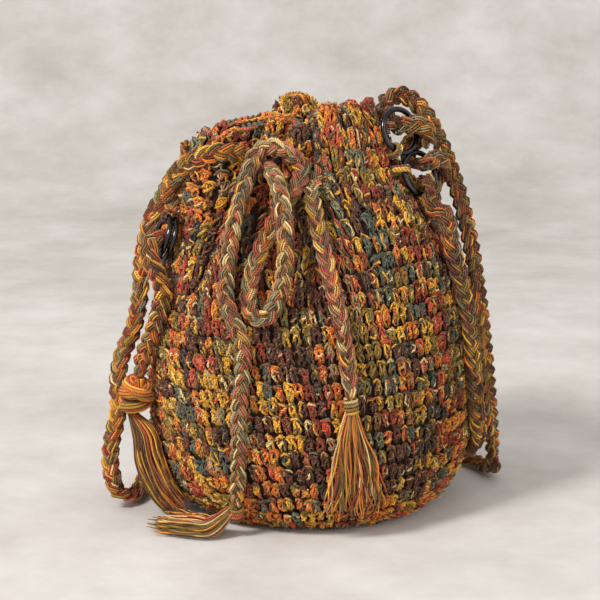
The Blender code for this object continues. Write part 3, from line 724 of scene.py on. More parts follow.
def away_from_pouch(line):
    """Which way a cord's flat face looks: out and to the front, or up where it lies on the floor."""
    in_front = np.clip((FRONT_FACE[0] - line[:, 1]) / FRONT_FACE[1], 0, 1)[:, None]
    out = unit(unit(line * (1, 1, 0)) * (1 - 0.4 * in_front) + np.array([0, -1.0, 0]) * in_front)
    on_floor = np.clip((FLOOR_FACE[0] - line[:, 2]) / FLOOR_FACE[1], 0, 1)[:, None]
    return unit(out * (1 - on_floor) + np.array([0, 0, 1.0]) * on_floor)


def frames_along(line, toward):
    """Faces and sides along a line. The faces turn toward the given directions, eased."""
    heading = unit(np.gradient(line, axis=0))
    face = np.empty_like(line)
    last = toward[0]
    for i, run in enumerate(heading):
        last = last - run * run.dot(last)
        last = last / np.linalg.norm(last)
        face[i] = last
    side = np.cross(heading, face)
    aim = (toward * face).sum(1) + 1j * (toward * side).sum(1)
    along = run_along(line)
    near = np.exp(-((along[:, None] - along) ** 2) / (2 * FACE_EASE**2))
    aim = near @ aim
    aim /= np.abs(aim)
    turned = face * aim.real[:, None] + side * aim.imag[:, None]
    return turned, np.cross(heading, turned)


def strand_bundle(line, normal, plies, out, along, flat=STRAND_FLATNESS):
    """Paths of plies that lie round a strand's own line and turn slowly about it."""
    run = unit(np.gradient(line, axis=0))
    normal = square_to(run, normal)
    across = np.cross(run, normal)
    paths = []
    for j in range(plies):
        turn = 2 * np.pi * (j / plies + along * PLY_TURNS_PER_METRE)[:, None]
        paths.append(line + (across * np.cos(turn) + normal * np.sin(turn) * flat) * out)
    return np.array(paths), np.array([normal] * plies)


def braid(line, toward, bound=(), girth=1.0):
    """Paths and normals of the plies of a three-strand braid, slimmer at the ends that are bound."""
    along = run_along(line)
    slim = np.ones(len(line)) * girth
    for end in bound:
        slim *= np.interp(np.abs(along - along[end]), [0, BOUND_LENGTH], [BOUND_SHARE, 1])
    slim = slim[:, None]
    face, side = frames_along(line, toward)
    paths, normals = [], []
    for strand in range(3):
        turn = 2 * np.pi * (along / BRAID_PITCH + strand / 3)[:, None]
        weave = side * BRAID_HALF_WIDTH * np.sin(turn) + face * BRAID_HALF_DEPTH * np.sin(2 * turn)
        plies, faces = strand_bundle(line + weave * slim, face, STRAND_PLIES, PLY_OUT * slim, along)
        paths.append(plies)
        normals.append(faces)
    paths = np.concatenate(paths)
    paths[..., 2] = np.maximum(paths[..., 2], PLY_RADIUS * 1.1)
    return paths, np.concatenate(normals)


def add_braid(name, braided, shades, material, slot, node, part=slice(None)):
    """A piece for a part of a braid, from its plies' paths and normals and their shades."""
    yarns = Yarns(sides=3)
    yarns.add(*[rows[:, part] for rows in braided], PLY_RADIUS, shades[:, part])
    return yarns.make(name, material, node)


def declare_cord(line, exit_first=True):
    """Takes every fourth point of a cord's line and its last, from the end that leaves the pouch; nothing is
    done with them.
    """
    path = line if exit_first else line[::-1]
    path = np.vstack([path[:-1:4], path[-1:]])


def ring_frame(name):
    """A ring's centre, the way it faces, and its own right and up."""
    centre, facing = RINGS[name]
    facing = Vector(facing).normalized()
    right = Vector((0, 0, 1)).cross(facing).normalized()
    return Vector(centre), facing, right, facing.cross(right)


def hitch_route():
    """The strap's winding round the right arcs of both right rings, and the places it winds round."""
    axis = []
    for name, arc in (("ring_right_upper", HITCH_UPPER), ("ring_right_lower", HITCH_LOWER)):
        centre, facing, right, up = ring_frame(name)
        for angle in np.radians(np.linspace(*arc, HITCH_STEPS)):
            outward = right * math.cos(angle) + up * math.sin(angle)
            axis.append((centre + outward * RING_RADIUS, -outward, facing))
    between = []
    for t in np.linspace(0, 1, HITCH_STEPS // 2)[1:-1]:
        ends = zip(axis[HITCH_STEPS - 1], axis[HITCH_STEPS])
        spot, inward, facing = [first.lerp(last, t) for first, last in ends]
        between.append((spot, inward.normalized(), facing.normalized()))
    axis[HITCH_STEPS:HITCH_STEPS] = between
    points = []
    along = 0.0
    for i, (spot, inward, facing) in enumerate(axis):
        along += (spot - axis[i - 1][0]).length if i else 0.0
        turn = 2 * math.pi * along / HITCH_PITCH
        points.append(spot + (inward * math.cos(turn) + facing * math.sin(turn)) * HITCH_WINDING)
    return points, np.array([spot for spot, _, _ in axis])


def beyond(points, distance):
    """A point straight on past the last of some points."""
    last, before = Vector(points[-1]), Vector(points[-2])
    return last + (last - before).normalized() * distance


# Routes of the cords, as in the CAD source.
DRAWSTRING_FRONT_END = along_wall(
    (282, 0.091, 0.0077), (281.5, 0.105, 0.0072), (280, 0.126, 0.0066), (278, 0.145, 0.0066),
    (276, 0.16, 0.0066), (274, 0.174, 0.0066), (272, 0.186, 0.0066), (270.5, 0.198, 0.006),
    (270, 0.209, 0.0),
)
NECK_TURNS = np.radians(np.arange(283, 597, 18))
NECK_RUN_RADIUS = 0.041
NECK_RUN_HEIGHT = 0.217
DRAWSTRING_NECK = [
    (NECK_RUN_RADIUS * math.cos(turn), NECK_RUN_RADIUS * math.sin(turn), NECK_RUN_HEIGHT)
    for turn in NECK_TURNS
]
DRAWSTRING_LOOPS = along_wall(
    (243.5, 0.217, 0.001), (249, 0.212, 0.0095), (254, 0.205, 0.015), (258.5, 0.194, 0.017),
    (261, 0.18, 0.017), (261.5, 0.166, 0.0165), (260.5, 0.153, 0.013), (258, 0.142, 0.0095),
    (254.5, 0.135, 0.008), (250.5, 0.136, 0.0068), (248.5, 0.144, 0.0066), (248.5, 0.156, 0.0066),
    (250, 0.168, 0.0066), (252.5, 0.179, 0.0066), (256, 0.19, 0.0066), (260, 0.2, 0.0066),
    (263.5, 0.209, 0.005), (264, 0.2185, 0.003), (257, 0.2255, 0.005), (247, 0.2285, 0.008),
    (238.5, 0.224, 0.009), (236, 0.214, 0.0085), (237, 0.202, 0.0076), (238, 0.188, 0.007),
    (238.5, 0.174, 0.0066), (239, 0.16, 0.0066), (239.5, 0.148, 0.0066), (242, 0.138, 0.0074),
    (246.5, 0.128, 0.011), (248.5, 0.118, 0.01), (248, 0.104, 0.007), (247, 0.088, 0.0066),
    (246.5, 0.07, 0.0066), (246, 0.052, 0.0066), (245, 0.036, 0.007), (243.5, 0.024, 0.008),
)
STRAP_BACK_MIDDLE = (0.0, 0.108, 0.0051)
STRAP_MAIN_RUN = [
    by_neck(341.4, -0.0105, 0.031), by_neck(352.6, -0.0111, 0.038), by_neck(1.0, -0.0015, 0.0415),
    by_neck(3.4, 0.0106, 0.033), by_neck(3.6, 0.0217, 0.014), (0.09, 0.007, 0.202),
    (0.099, 0.009, 0.17), (0.107, 0.012, 0.125), (0.113, 0.016, 0.078), (0.1165, 0.019, 0.044),
    (0.119, 0.024, 0.022), (0.1195, 0.033, 0.009), (0.1175, 0.046, 0.0053), (0.112, 0.058, 0.0051),
    (0.1, 0.074, 0.0051), (0.075, 0.092, 0.0051), (0.04, 0.104, 0.0051), STRAP_BACK_MIDDLE,
    (-0.04, 0.103, 0.0051), (-0.075, 0.086, 0.0051), (-0.098, 0.058, 0.0051),
    (-0.107, 0.027, 0.0051), (-0.109, 0.001, 0.0051), (-0.113, -0.02, 0.006),
    (-0.121, -0.03, 0.012), (-0.125, -0.029, 0.024), (-0.125, -0.027, 0.04),
    (-0.1205, -0.023, 0.062), (-0.1205, -0.02, 0.082), (-0.118, -0.017, 0.096),
    (-0.111, -0.012, 0.112), (-0.107, -0.008, 0.132), (-0.1055, -0.005, 0.154),
    (-0.101, -0.005, 0.174), (-0.097, -0.007, 0.185), (-0.0905, -0.012, 0.196),
    (-0.084, -0.022, 0.208), (-0.0765, -0.033, 0.217), (-0.0665, -0.041, 0.223),
    (-0.0555, -0.043, 0.2265), (-0.0465, -0.039, 0.2255), (-0.0385, -0.033, 0.224),
]
STRAP_SECOND_RUN = along_wall(
    (333, 0.183, 0.0115), (332.5, 0.17, 0.009), (334.5, 0.152, 0.0072), (336, 0.128, 0.0069),
    (336.5, 0.104, 0.0069), (339.0, 0.08, 0.0069), (344.5, 0.06, 0.0075), (352, 0.046, 0.0085),
    (359, 0.035, 0.0085), (8, 0.032, 0.008), (16, 0.04, 0.007), (21, 0.056, 0.0068),
    (24, 0.08, 0.0066), (27, 0.11, 0.0066), (30, 0.14, 0.0066), (33, 0.168, 0.0066),
    (36, 0.19, 0.0066), (37.5, 0.206, 0.003), (38, 0.214, -0.008),
)
STRAP_LEFT_END = along_wall(
    (200.5, 0.169, 0.0025), (201.0, 0.169, 0.011), (203.5, 0.1655, 0.019), (207.5, 0.157, 0.02),
    (210.0, 0.149, 0.014), (210.0, 0.14, 0.0085), (208.0, 0.128, 0.0068), (205.0, 0.112, 0.0084),
    (202.5, 0.1, 0.0108), (201.2, 0.088, 0.0126),
)

# A short braid that the photograph shows between the left rings and the rim, under the strap.
LEFT_HITCH = along_wall(
    (197.0, 0.17, 0.0055), (192.0, 0.178, 0.0065), (189.0, 0.185, 0.008), (187.0, 0.194, 0.01),
    (187.5, 0.203, 0.015), (190.0, 0.211, 0.0205), (196.0, 0.218, 0.024),
)

# Where the rings hang and which way they face, and the loops of yarn that hold them.
LEFT_RINGS = (198, 0.169)
RINGS = {
    "ring_right_upper": (by_neck(332.8, 0.00265, 0.0225), (0.62, -0.72, 0.30)),
    "ring_right_lower": (by_neck(340.0, 0.01273, -0.0040), (0.65, -0.68, 0.35)),
    "ring_left_inner": (near_wall(*LEFT_RINGS, 0.0066), off_wall(*LEFT_RINGS)),
    "ring_left_outer": (near_wall(*LEFT_RINGS, 0.0106), off_wall(*LEFT_RINGS)),
}
TABS = {
    "ring_tab_upper": ("ring_right_upper", 240, (0.82, -0.57, 0.0), 0.0079),
    "ring_tab_lower": ("ring_right_lower", 165, (0.99, -0.10, 0.1), 0.0072),
    "ring_tab_left": ("ring_left_outer", 90, off_wall(*LEFT_RINGS), 0.0078),
}
TAB_HALF_WIDTH = RING_WIRE + 0.0020
TAB_YARN = 0.00095
TAB_LANES_APART = 1.5
TAB_STEPS = 32

# Wraps, knot and tassels, near those of the CAD source. A tassel's stations by the wall are an azimuth, a
# height, a stand-off, a half width and a half thickness. Those on the floor begin with x, y, z.
END_GAP = 0.0005
TIE_RADIUS = 0.0036
TIE_LENGTH = 0.0085
TIE_TURNS = 4
TIE_YARN = 0.00090
TASSEL_TOP = (0.0030, 0.0028)
TASSEL_RIGHT = [
    (282.8, 0.07, 0.007, 0.0078, 0.004),
    (283.4, 0.059, 0.0066, 0.011, 0.0038),
    (284.4, 0.046, 0.0064, 0.014, 0.0036),
    (285.4, 0.032, 0.0062, 0.017, 0.0034),
    (286.2, 0.017, 0.006, 0.019, 0.0028),
]
TASSEL_LEFT = [
    (-0.059, -0.086, 0.007, 0.0098, 0.006),
    (-0.068, -0.0815, 0.0062, 0.0125, 0.0056),
    (-0.081, -0.073, 0.0056, 0.015, 0.005),
    (-0.093, -0.064, 0.005, 0.0165, 0.0044),
]
STRAP_TASSEL = [
    (200.8, 0.052, 0.0108, 0.0105, 0.0074),
    (203.0, 0.038, 0.0114, 0.015, 0.0088),
    (206.5, 0.024, 0.0116, 0.017, 0.0084),
    (210.0, 0.011, 0.0114, 0.018, 0.0076),
]
KNOT_LENGTH = 0.0235
KNOT_WINDING = 0.0072
KNOT_BUNDLE = 0.0038
KNOT_YARN = PLY_RADIUS * 1.35
KNOT_POINTS = 60
KNOT_START = 0.9
KNOT_FULLNESS = 0.35
# The knot's core, its winding and the strand across it: turns, how far out, and from where to where
# along the knot. Each is a bundle of an inner and an outer ring of plies.
KNOT_WAYS = (
    (0.0, 0.0, 0.0, 1.0),
    (2.2, KNOT_WINDING, 0.08, 0.94),
    (-1.1, KNOT_WINDING + 0.0016, 0.10, 0.84),
)
KNOT_PLIES = ((KNOT_BUNDLE * 0.38, 4), (KNOT_BUNDLE * 0.8, 10))
DRAWSTRING_TASSEL_COUNT = 104
STRAP_TASSEL_COUNT = 190
TASSEL_YARN = 0.00055
TASSEL_STRAY = 0.0034
TASSEL_POINTS = 20
TASSEL_LENGTHS = (0.74, 1.0)
GOLDEN_ANGLE = math.pi * (3 - math.sqrt(5))


def wrap_round(yarns, top, bottom):
    """Winds one yarn round a cord's end between two points."""
    top, bottom = np.array(top), np.array(bottom)
    share = np.linspace(0, 1, TIE_TURNS * 14 + 1)[:, None]
    out = wound_out(unit(bottom - top), 2 * np.pi * TIE_TURNS * share)
    path = top + (bottom - top) * share + out * TIE_RADIUS
    yarns.add(path[None], out[None], TIE_YARN, space_dyed(run_along(path)[None], TASSEL_DYES))


def tassel_stations(cord, start, places):
    """A tassel's centres and its half width and half thickness vectors, from a cord's end on."""
    top, heading = beyond(cord, start), beyond(cord, 2 * start) - beyond(cord, start)
    places = [(top, places[0][1], *TASSEL_TOP)] + places
    stations = []
    for i, (place, off, wide, thick) in enumerate(places):
        before, after = places[max(0, i - 1)][0], places[min(len(places) - 1, i + 1)][0]
        run = (after - before if i else heading).normalized()
        off = (off - run * run.dot(off)).normalized()
        stations.append((*place, *(run.cross(off) * wide), *(off * thick)))
    return np.array(stations)


def wall_places(stations):
    """Places by the wall, the direction off it, and two half sizes each."""
    made = []
    for azimuth, height, out, wide, thick in stations:
        place = Vector(near_wall(azimuth, height, out))
        made.append((place, Vector(near_wall(azimuth, height, out + 0.01)) - place, wide, thick))
    return made


def floor_places(stations):
    """Places on the floor, the direction off it, and two half sizes each."""
    return [(Vector((x, y, z)), Vector((0, 0, 1)), wide, thick) for x, y, z, wide, thick in stations]


def add_tassel(name, stations, count, dyes, material, node):
    """A tassel of loose yarns that spread from a bundle through its stations, each a little astray."""
    fine = smooth_line(stations, 0.002)
    centre, wide, thick = fine[:, :3], fine[:, 3:6], fine[:, 6:9]
    share = run_along(centre) / run_along(centre)[-1]
    paths, normals = [], []
    for k in range(count):
        out = math.sqrt((k + 0.5) / count)
        angle = k * GOLDEN_ANGLE + rng.uniform(-0.2, 0.2)
        at = np.linspace(0, rng.uniform(*TASSEL_LENGTHS), TASSEL_POINTS)
        across, through, path = [taken_at(at, share, rows) for rows in (wide, thick, centre)]
        sway = rng.uniform(0.3, 1.0) * np.sin(at * rng.uniform(6, 16) + rng.uniform(0, 6)) * at
        sway = (sway + rng.normal(0, 1.1) * at**2) * TASSEL_STRAY
        path = path + across * out * math.cos(angle) + through * out * math.sin(angle)
        path = path + unit(across) * sway[:, None]
        path[:, 2] = np.maximum(path[:, 2], TASSEL_YARN * 1.1)
        paths.append(path)
        normals.append(unit(through))
    paths = np.array(paths)
    ends = np.linspace(0, 1, TASSEL_POINTS)
    taper = np.interp(ends, [0, 0.9, 1], [1, 0.95, 0.45]) * TASSEL_YARN
    yarns = Yarns(sides=3)
    yarns.add(paths, np.array(normals), taper, space_dyed(run_along(paths), dyes, *TASSEL_RUNS))
    return yarns.make(name, material, node)


def add_knot(name, cord, dyes, material):
    """A fat knot of yarn bundles: a core, a winding round it and one strand across the winding."""
    top = np.array(beyond(cord, END_GAP))
    run = unit(np.array(beyond(cord, KNOT_LENGTH)) - top)
    share = np.linspace(0, 1, KNOT_POINTS)[:, None]
    swell = np.sin(np.pi * share) ** KNOT_FULLNESS
    yarns = Yarns(sides=4)
    for turns, winding, low, high in KNOT_WAYS:
        out = wound_out(run, 2 * np.pi * turns * share + KNOT_START)
        line = top + run * KNOT_LENGTH * (low + (high - low) * share) + out * winding * swell
        for ring, plies in KNOT_PLIES:
            paths, normals = strand_bundle(line, out, plies, ring, run_along(line), flat=1.0)
            shades = space_dyed(run_along(paths), dyes, *KNOT_RUNS)
            yarns.add(paths, normals, KNOT_YARN, shades)
    return yarns.make(name, material, "strap_knot")


# Crochet.


def stitch_dyes():
    """Each stitch's dye: short runs along a row that often carry on from the row below."""
    colours = np.zeros((ROWS + 1, STITCHES, 3))
    fresh = draw_dyes(WALL_DYES, (ROWS + 1) * STITCHES).reshape(ROWS + 1, STITCHES, 3)
    for row in range(ROWS + 1):
        for column in range(STITCHES):
            chance = rng.random()
            if column and chance < DYE_GOES_ON:
                colours[row, column] = colours[row, column - 1]
            elif row and chance < DYE_GOES_ON + DYE_FROM_BELOW:
                colours[row, column] = colours[row - 1, column]
            else:
                colours[row, column] = fresh[row, column]
    return colours


def jittered(shape, amount):
    """Random offsets, spread evenly about zero."""
    return rng.uniform(-amount, amount, shape)


def add_stitches(yarns, rows, colours, surface=on_wall, stitches=STITCHES, inside=False):
    """Adds the stitches of some rows on a surface: full ones outside, plain legs inside the wall."""
    row, column = [grid.ravel() for grid in np.meshgrid(rows, np.arange(stitches), indexing="ij")]
    many = len(row)
    shift = column + row * ROW_DRIFT + jittered(many, ACROSS_STRAY)
    for waves, phase, height in ROW_WAVES:
        row = row + height * np.sin(2 * np.pi * waves * shift / STITCHES + phase * np.round(row))
    tall = 1 + jittered(many, HEIGHT_STRAY)
    proud = jittered(many, STITCH_OUT_STRAY)
    dyes = colours[np.round(row).astype(int) % len(colours), column]
    shape = (many, STITCH_POINTS)
    for number, (across, up, out) in enumerate(STITCH_PARTS[: 2 if inside else 4]):
        u = shift[:, None] + across + STITCH_LEAN * (up - 0.5) + jittered(shape, ACROSS_STRAY)
        v = row[:, None] + up * tall[:, None] + jittered(shape, UP_STRAY)
        out = out + proud[:, None] + jittered(shape, OUT_STRAY)
        first_turn = rng.uniform(0, 2 * np.pi, (many, 1))
        for strand in range(1 if inside else 2):
            turn = first_turn + STRAND_TURN * np.linspace(0, 1, STITCH_POINTS) + np.pi * strand
            apart = np.cos(turn) * STRAND_APART
            side = u + (apart / STITCH_WIDTH if number < 2 else 0)
            rise = v + (apart / ROW_PITCH if number > 1 else 0)
            stand = -WALL - out if inside else out + np.sin(turn) * STRAND_APART
            fleck = rng.random((many, 1)) < FLECKED[strand]
            shades = np.where(fleck, draw_dyes(FLECK_DYES, many), dyes)[:, None]
            start, end = [rng.uniform(*STRAND_TONES, many) for _ in range(2)]
            fade = np.linspace(start, end, STITCH_POINTS, axis=1)
            girth = STRAND * (1 + jittered((many, 1), GIRTH_STRAY))
            yarns.add(*surface(side, rise, stand), girth, shades * fade[..., None])


def add_crochet(material):
    """The wall's stitches in bands, then those turned in at its mouth with the chain at its rim."""
    colours = stitch_dyes()
    cuts = np.linspace(0, ROWS, 5).round().astype(int)
    for name, low, high in zip(("lower", "middle", "upper", "shoulder"), cuts, cuts[1:]):
        yarns = Yarns(sides=3)
        add_stitches(yarns, np.arange(low, high), colours)
        yarns.make("crochet_" + name, material, "bag_body")

    yarns = Yarns(sides=3)
    inner_colours = np.roll(colours, INSIDE_SHIFT, axis=1)
    add_stitches(yarns, np.arange(ROWS - INSIDE_ROWS, ROWS), inner_colours, inside=True)
    shape = (STITCHES, len(LINK_ALONG))
    for lane, out in LINK_LANES:
        u = np.arange(STITCHES)[:, None] + LINK_ALONG + lane
        u = u + jittered(shape, RIM_ALONG_STRAY)
        v = ROWS - LINK_DROP + LINK_UP + jittered(shape, LINK_UP_STRAY)
        links = on_wall(u, v, out + jittered(shape, OUT_STRAY))
        yarns.add(*links, RIM_YARN * 1.2, colours[ROWS][:, None])
    loops = 2 * STITCHES
    u = np.arange(loops)[:, None] / 2 + EDGE_ALONG + jittered((loops, 5), RIM_ALONG_STRAY)
    v = ROWS + EDGE_UP + jittered((loops, 1), EDGE_UP_STRAY)
    paths, normals = on_wall(u, v, EDGE_OUT + np.zeros((loops, 1)))
    upward = square_to(unit(np.gradient(paths, axis=1)), unit(np.array([0, 0, 1.0]) + normals * 0.2))
    yarns.add(paths, upward, RIM_YARN * 1.1, np.repeat(colours[0], 2, axis=0)[:, None])
    yarns.make("crochet_rim", material, "bag_body")


def on_knob(u, v, out):
    """Points and normals on the small round lobe that the wall makes at the back of the mouth."""
    turn = 2 * np.pi * u / KNOB_STITCHES
    rise = KNOB_FOOT + (1 - 2 * KNOB_FOOT) * v / KNOB_ROWS
    rise = np.pi * np.clip(rise, KNOB_POLE, 1 - KNOB_POLE)
    normals = np.stack([np.cos(turn) * np.sin(rise), np.sin(turn) * np.sin(rise), -np.cos(rise)], axis=-1)
    return KNOB_CENTRE + normals * (KNOB_HALVES + out[..., None]), normals


def add_knob(material, shade_backing):
    """The lobe at the back of the mouth: its stitches, and a dark core behind them that paints the shade in
    their gaps.
    """
    yarns = Yarns(sides=3)
    colours = draw_dyes(EMBER_DYES, KNOB_ROWS * KNOB_STITCHES).reshape(KNOB_ROWS, KNOB_STITCHES, 3)
    add_stitches(yarns, np.arange(KNOB_ROWS), colours, on_knob, KNOB_STITCHES)
    yarns.make("crochet_knob", material, "bag_body")
    # A dark core that paints the shade seen in the gaps between the lobe's stitches.
    steps = KNOB_CORE_STEPS
    turns, rises = np.meshgrid(np.linspace(0, 1, steps) * KNOB_STITCHES, np.linspace(0, 1, steps) * KNOB_ROWS)
    spots, _ = on_knob(turns[:, :-1], rises[:, :-1], np.full((steps, steps - 1), -KNOB_CORE_DEPTH))
    across = steps - 1
    faces = faces_round(steps, across)
    faces += [tuple(range(across))[::-1], tuple(range((steps - 1) * across, steps * across))]
    mesh = face_mesh("crochet_knob_shade_core", spots, faces, smooth=False)
    add_piece("crochet_knob_shade_core", mesh, shade_backing, "bag_body")


def add_base(material):
    """The base's rounds of stitches, seen from below."""
    yarns = Yarns()
    rounds = round(BASE_RADIUS / ROW_PITCH)
    pitch = BASE_RADIUS / rounds
    for ring in range(rounds):
        count = max(8, round(2 * math.pi * (ring + 0.6) * pitch / BASE_STITCH_WIDTH))
        turn = np.arange(count)[:, None]
        for across, up, out in STITCH_PARTS:
            angle = 2 * np.pi * (turn + across) / count
            reach = np.maximum(0.0012, (ring + up) * pitch) + np.zeros((count, 1))
            height = BASE_HEIGHT - out + np.zeros((count, 1))
            paths = np.stack([reach * np.cos(angle), -reach * np.sin(angle), height], axis=-1)
            paths[..., 2] = np.maximum(paths[..., 2], RIM_YARN)
            normals = np.zeros_like(paths)
            normals[..., 2] = -1
            yarns.add(paths, normals, RIM_YARN, draw_dyes(WALL_DYES, count)[:, None])
    yarns.make("crochet_base", material, "bag_body")


def add_backing(material):
    """The closed shell behind the stitches, open at the mouth as the wall is, which shows in the gaps between
    them as painted shade.
    """
    shells = []
    for depth, lowest in BACKING_FACES:
        shell = (WALL_POINTS - WALL_NORMALS * depth)[::2, ::2]
        shell[..., 2] = np.maximum(shell[..., 2], lowest)
        shells.append(shell)
    rows, columns = shells[0].shape[:2]
    count = rows * columns
    faces = []
    for a, b, c, d in faces_round(rows, columns):
        faces += [(a, b, c, d), (count + d, count + c, count + b, count + a)]
    top = (rows - 1) * columns
    for k in range(columns):
        n = (k + 1) % columns
        faces.append((top + k, top + n, count + top + n, count + top + k))
    faces.append(tuple(range(columns))[::-1])
    faces.append(tuple(range(count, count + columns)))
    mesh = face_mesh("crochet_shade_backing", shells, faces)
    add_piece("crochet_shade_backing", mesh, material, "bag_body")


# Rings and what holds them.


def add_ring(name, material):
    """A smooth ring of round wire in place of the CAD ring, on the ring's own body."""
    centre, facing, right, up = [np.array(v) for v in ring_frame(name)]
    turns = np.linspace(0, 2 * np.pi, RING_STEPS, endpoint=False)
    sides = np.linspace(0, 2 * np.pi, RING_SIDES, endpoint=False)
    spots, faces = [], []
    for i, a in enumerate(turns):
        out = right * math.cos(a) + up * math.sin(a)
        for k, b in enumerate(sides):
            reach = RING_RADIUS + RING_WIRE * math.cos(b)
            spots.append(centre + out * reach + facing * RING_WIRE * math.sin(b))
            j, m = (i + 1) % RING_STEPS, (k + 1) % RING_SIDES
            faces.append((i * RING_SIDES + k, j * RING_SIDES + k, j * RING_SIDES + m, i * RING_SIDES + m))
    mesh = face_mesh(name + "_wire", spots, faces)
    add_piece(name + "_wire", mesh, material, name, body=name)


def add_tab(name, material):
    """Three loops of yarn side by side, from their seat on the wall round the wires they hold."""
    ring, angle, away, back = TABS[name]
    centre, _, right, up = [np.array(v) for v in ring_frame(ring)]
    a = math.radians(angle)
    wire = centre + (right * math.cos(a) + up * math.sin(a)) * RING_RADIUS
    along_wire = up * math.cos(a) - right * math.sin(a)
    away = unit(np.array(away) - along_wire * along_wire.dot(away))
    seat = wire - away * back
    side = np.cross(away, along_wire)
    straight = back - TAB_HALF_WIDTH
    turns = np.linspace(0, 2 * np.pi, TAB_STEPS + 1)
    out = away * np.cos(turns)[:, None] + side * np.sin(turns)[:, None]
    middle = seat + away * (TAB_HALF_WIDTH + np.where(np.cos(turns) > 0, straight, 0.0))[:, None]
    yarns = Yarns()
    for lane in (-1, 0, 1):
        path = middle + out * TAB_HALF_WIDTH + along_wire * lane * TAB_YARN * TAB_LANES_APART
        yarns.add(path[None], out[None], TAB_YARN, space_dyed(run_along(path)[None], WALL_DYES))
    yarns.make(name + "_yarn", material, name)


# The stage.


def add_camera():
    """The camera at the photograph's viewing angle."""
    data = bpy.data.cameras.new("camera")
    data.lens = CAMERA_LENS
    data.sensor_width = CAMERA_SENSOR
    data.sensor_fit = "HORIZONTAL"
    tilt = math.radians(CAMERA_ELEVATION)
    back = Vector((0, -math.cos(tilt), math.sin(tilt)))
    camera = add_object("camera", data, Vector(CAMERA_TARGET) + back * CAMERA_DISTANCE, -back)
    bpy.context.scene.camera = camera


def add_stage():
    """The floor with its backdrop curving up behind, the lights and a pale surround."""
    line = [(STAGE_FRONT, 0.0), (STAGE_BACK - STAGE_BEND, 0.0)]
    for a in np.linspace(0, math.pi / 2, STAGE_STEPS + 1)[1:]:
        y = STAGE_BACK - STAGE_BEND + STAGE_BEND * math.sin(a)
        line.append((y, STAGE_BEND - STAGE_BEND * math.cos(a)))
    line.append((STAGE_BACK, STAGE_TOP))
    spots = [(x, y, z) for y, z in line for x in (-STAGE_SIDE, STAGE_SIDE)]
    faces = [(2 * i, 2 * i + 1, 2 * i + 3, 2 * i + 2) for i in range(len(line) - 1)]
    mesh = face_mesh("stage_floor", spots, faces)
    mesh.materials.append(plaster_material())
    floor = add_object("stage_floor", mesh)

    for name, place, size, power, colour in LIGHTS:
        data = bpy.data.lights.new(name, "AREA")
        data.shape = "DISK"
        data.size = size
        data.energy = power
        data.color = colour
        add_object(name, data, place, Vector(LIGHTS_TARGET) - Vector(place))
    world = bpy.data.worlds.new("surround")
    world.use_nodes = True
    sky = world.node_tree.nodes["Background"]
    sky.inputs["Color"].default_value = SURROUND_COLOUR
    sky.inputs["Strength"].default_value = SURROUND_STRENGTH
    bpy.context.scene.world = world
    bpy.context.scene.view_settings.view_transform = "Standard"


def nearest(line, point):
    """The index of a line's point nearest a place."""
    return int(np.argmin(np.linalg.norm(line - np.array(point), axis=1)))


def add_drawstring(pale, tassel):
    """The drawstring with its wraps and tassels: a hidden neck part and two hanging ends."""
    line = smooth_line(DRAWSTRING_FRONT_END + DRAWSTRING_NECK + DRAWSTRING_LOOPS, LINE_STEP)
    braided = braid(line, away_from_pouch(line), bound=(0, -1))
    shades = space_dyed(run_along(braided[0]), PALE_DYES)
    leaves_front = nearest(line, DRAWSTRING_FRONT_END[-2])
    leaves_loops = nearest(line, DRAWSTRING_LOOPS[0])

    def stretch(name, first, last):
        part = slice(first, last + 1)
        made = add_braid(name, braided, shades, pale, "drawstring_yarn", "drawstring", part)
        return made, line[part]

    right, right_line = stretch("drawstring_right_braid", 0, leaves_front)
    stretch("drawstring_neck_braid", leaves_front, leaves_loops)
    left, left_line = stretch("drawstring_left_braid", leaves_loops, len(line) - 1)
    ends = (
        ("right", right, right_line, line[::-1], wall_places(TASSEL_RIGHT), False),
        ("left", left, left_line, line, floor_places(TASSEL_LEFT), True),
    )
    for side, piece, part, points, places, exit_first in ends:
        yarns = Yarns()
        wrap_round(yarns, beyond(points, 0.0), beyond(points, TIE_LENGTH + END_GAP))
        name = f"drawstring_{side}_wrap"
        tie = yarns.make(name, tassel, "drawstring_tie_" + side)
        hanging = add_tassel(
            f"drawstring_{side}_tassel",
            tassel_stations(points, 0.0, places),
            DRAWSTRING_TASSEL_COUNT,
            TASSEL_DYES,
            tassel,
            "drawstring_tassel_" + side,
        )
        declare_cord(part, exit_first)


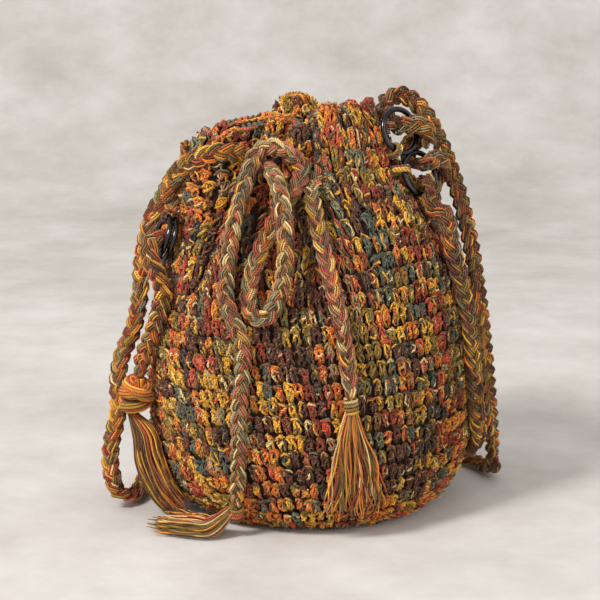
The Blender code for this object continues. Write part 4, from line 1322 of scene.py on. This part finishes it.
def add_strap(strap, tassel):
    """The shoulder strap: its second run, its hitch round the rings and its long run over and round."""
    hitch, wires = hitch_route()
    route = STRAP_SECOND_RUN[::-1] + [beyond(hitch, LEAD_IN)] + hitch[::-1]
    route += [beyond(hitch[::-1], LEAD_IN)] + STRAP_MAIN_RUN
    line = smooth_line(route, LINE_STEP)
    into_hitch, out_of_hitch = nearest(line, hitch[-1]), nearest(line, hitch[0])
    toward = away_from_pouch(line)
    for i in range(into_hitch, out_of_hitch + 1):
        away = line[i] - wires
        toward[i] = away[np.argmin(np.linalg.norm(away, axis=1))]
    braided = braid(line, unit(toward), girth=STRAP_GIRTH)
    along = run_along(braided[0])
    turn_left = nearest(line, STRAP_BACK_MIDDLE)
    shades = space_dyed(along, DARK_DYES)
    shades[:, turn_left:] = space_dyed(along, WARM_DYES)[:, turn_left:]
    stretches = (
        ("strap_second_braid", 0, into_hitch, "strap_second_run", "hanging"),
        ("strap_hitch_braid", into_hitch, out_of_hitch, "strap_hitch", "taut"),
        ("strap_long_braid", out_of_hitch, len(line) - 1, "shoulder_strap", "loose"),
    )
    for name, first, last, node, lay in stretches:
        part = slice(first, last + 1)
        piece = add_braid(name, braided, shades, strap, "strap_yarn", node, part)
        declare_cord(line[part])

    def left_braid(name, knots, bound=(), girth=1.0):
        line = smooth_line(knots, LINE_STEP)
        braided = braid(line, away_from_pouch(line), bound, girth)
        shades = space_dyed(run_along(braided[0]), WARM_DYES)
        return add_braid(name, braided, shades, strap, "strap_yarn", "strap_left_end"), line

    piece, line = left_braid("strap_left_braid", STRAP_LEFT_END, (-1,), STRAP_GIRTH)
    knot = add_knot("strap_knot_yarns", line, KNOT_DYES, strap)
    hitched, short = left_braid("strap_left_hitch", LEFT_HITCH)
    declare_cord(short)
    stations = tassel_stations(line, KNOT_LENGTH, wall_places(STRAP_TASSEL))
    loose = add_tassel("strap_tassel_yarns", stations, STRAP_TASSEL_COUNT, EMBER_DYES, tassel, "strap_tassel")
    declare_cord(line)


add_camera()
add_stage()
crochet_yarn = yarn_material("crochet_wool", twist=0.0040)
pale_yarn = yarn_material("drawstring_wool", twist=0.0026)
strap_wool = yarn_material("strap_wool", twist=0.0026)
tassel_wool = yarn_material("tassel_wool", twist=0.0024)
add_drawstring(pale_yarn, tassel_wool)
add_strap(strap_wool, tassel_wool)
add_crochet(crochet_yarn)
add_base(crochet_yarn)
shade_backing = shade_backing_material()
add_backing(shade_backing)
add_knob(crochet_yarn, shade_backing)
steel = steel_material()
for ring_name in RINGS:
    add_ring(ring_name, steel)
for tab_name in TABS:
    add_tab(tab_name, crochet_yarn)
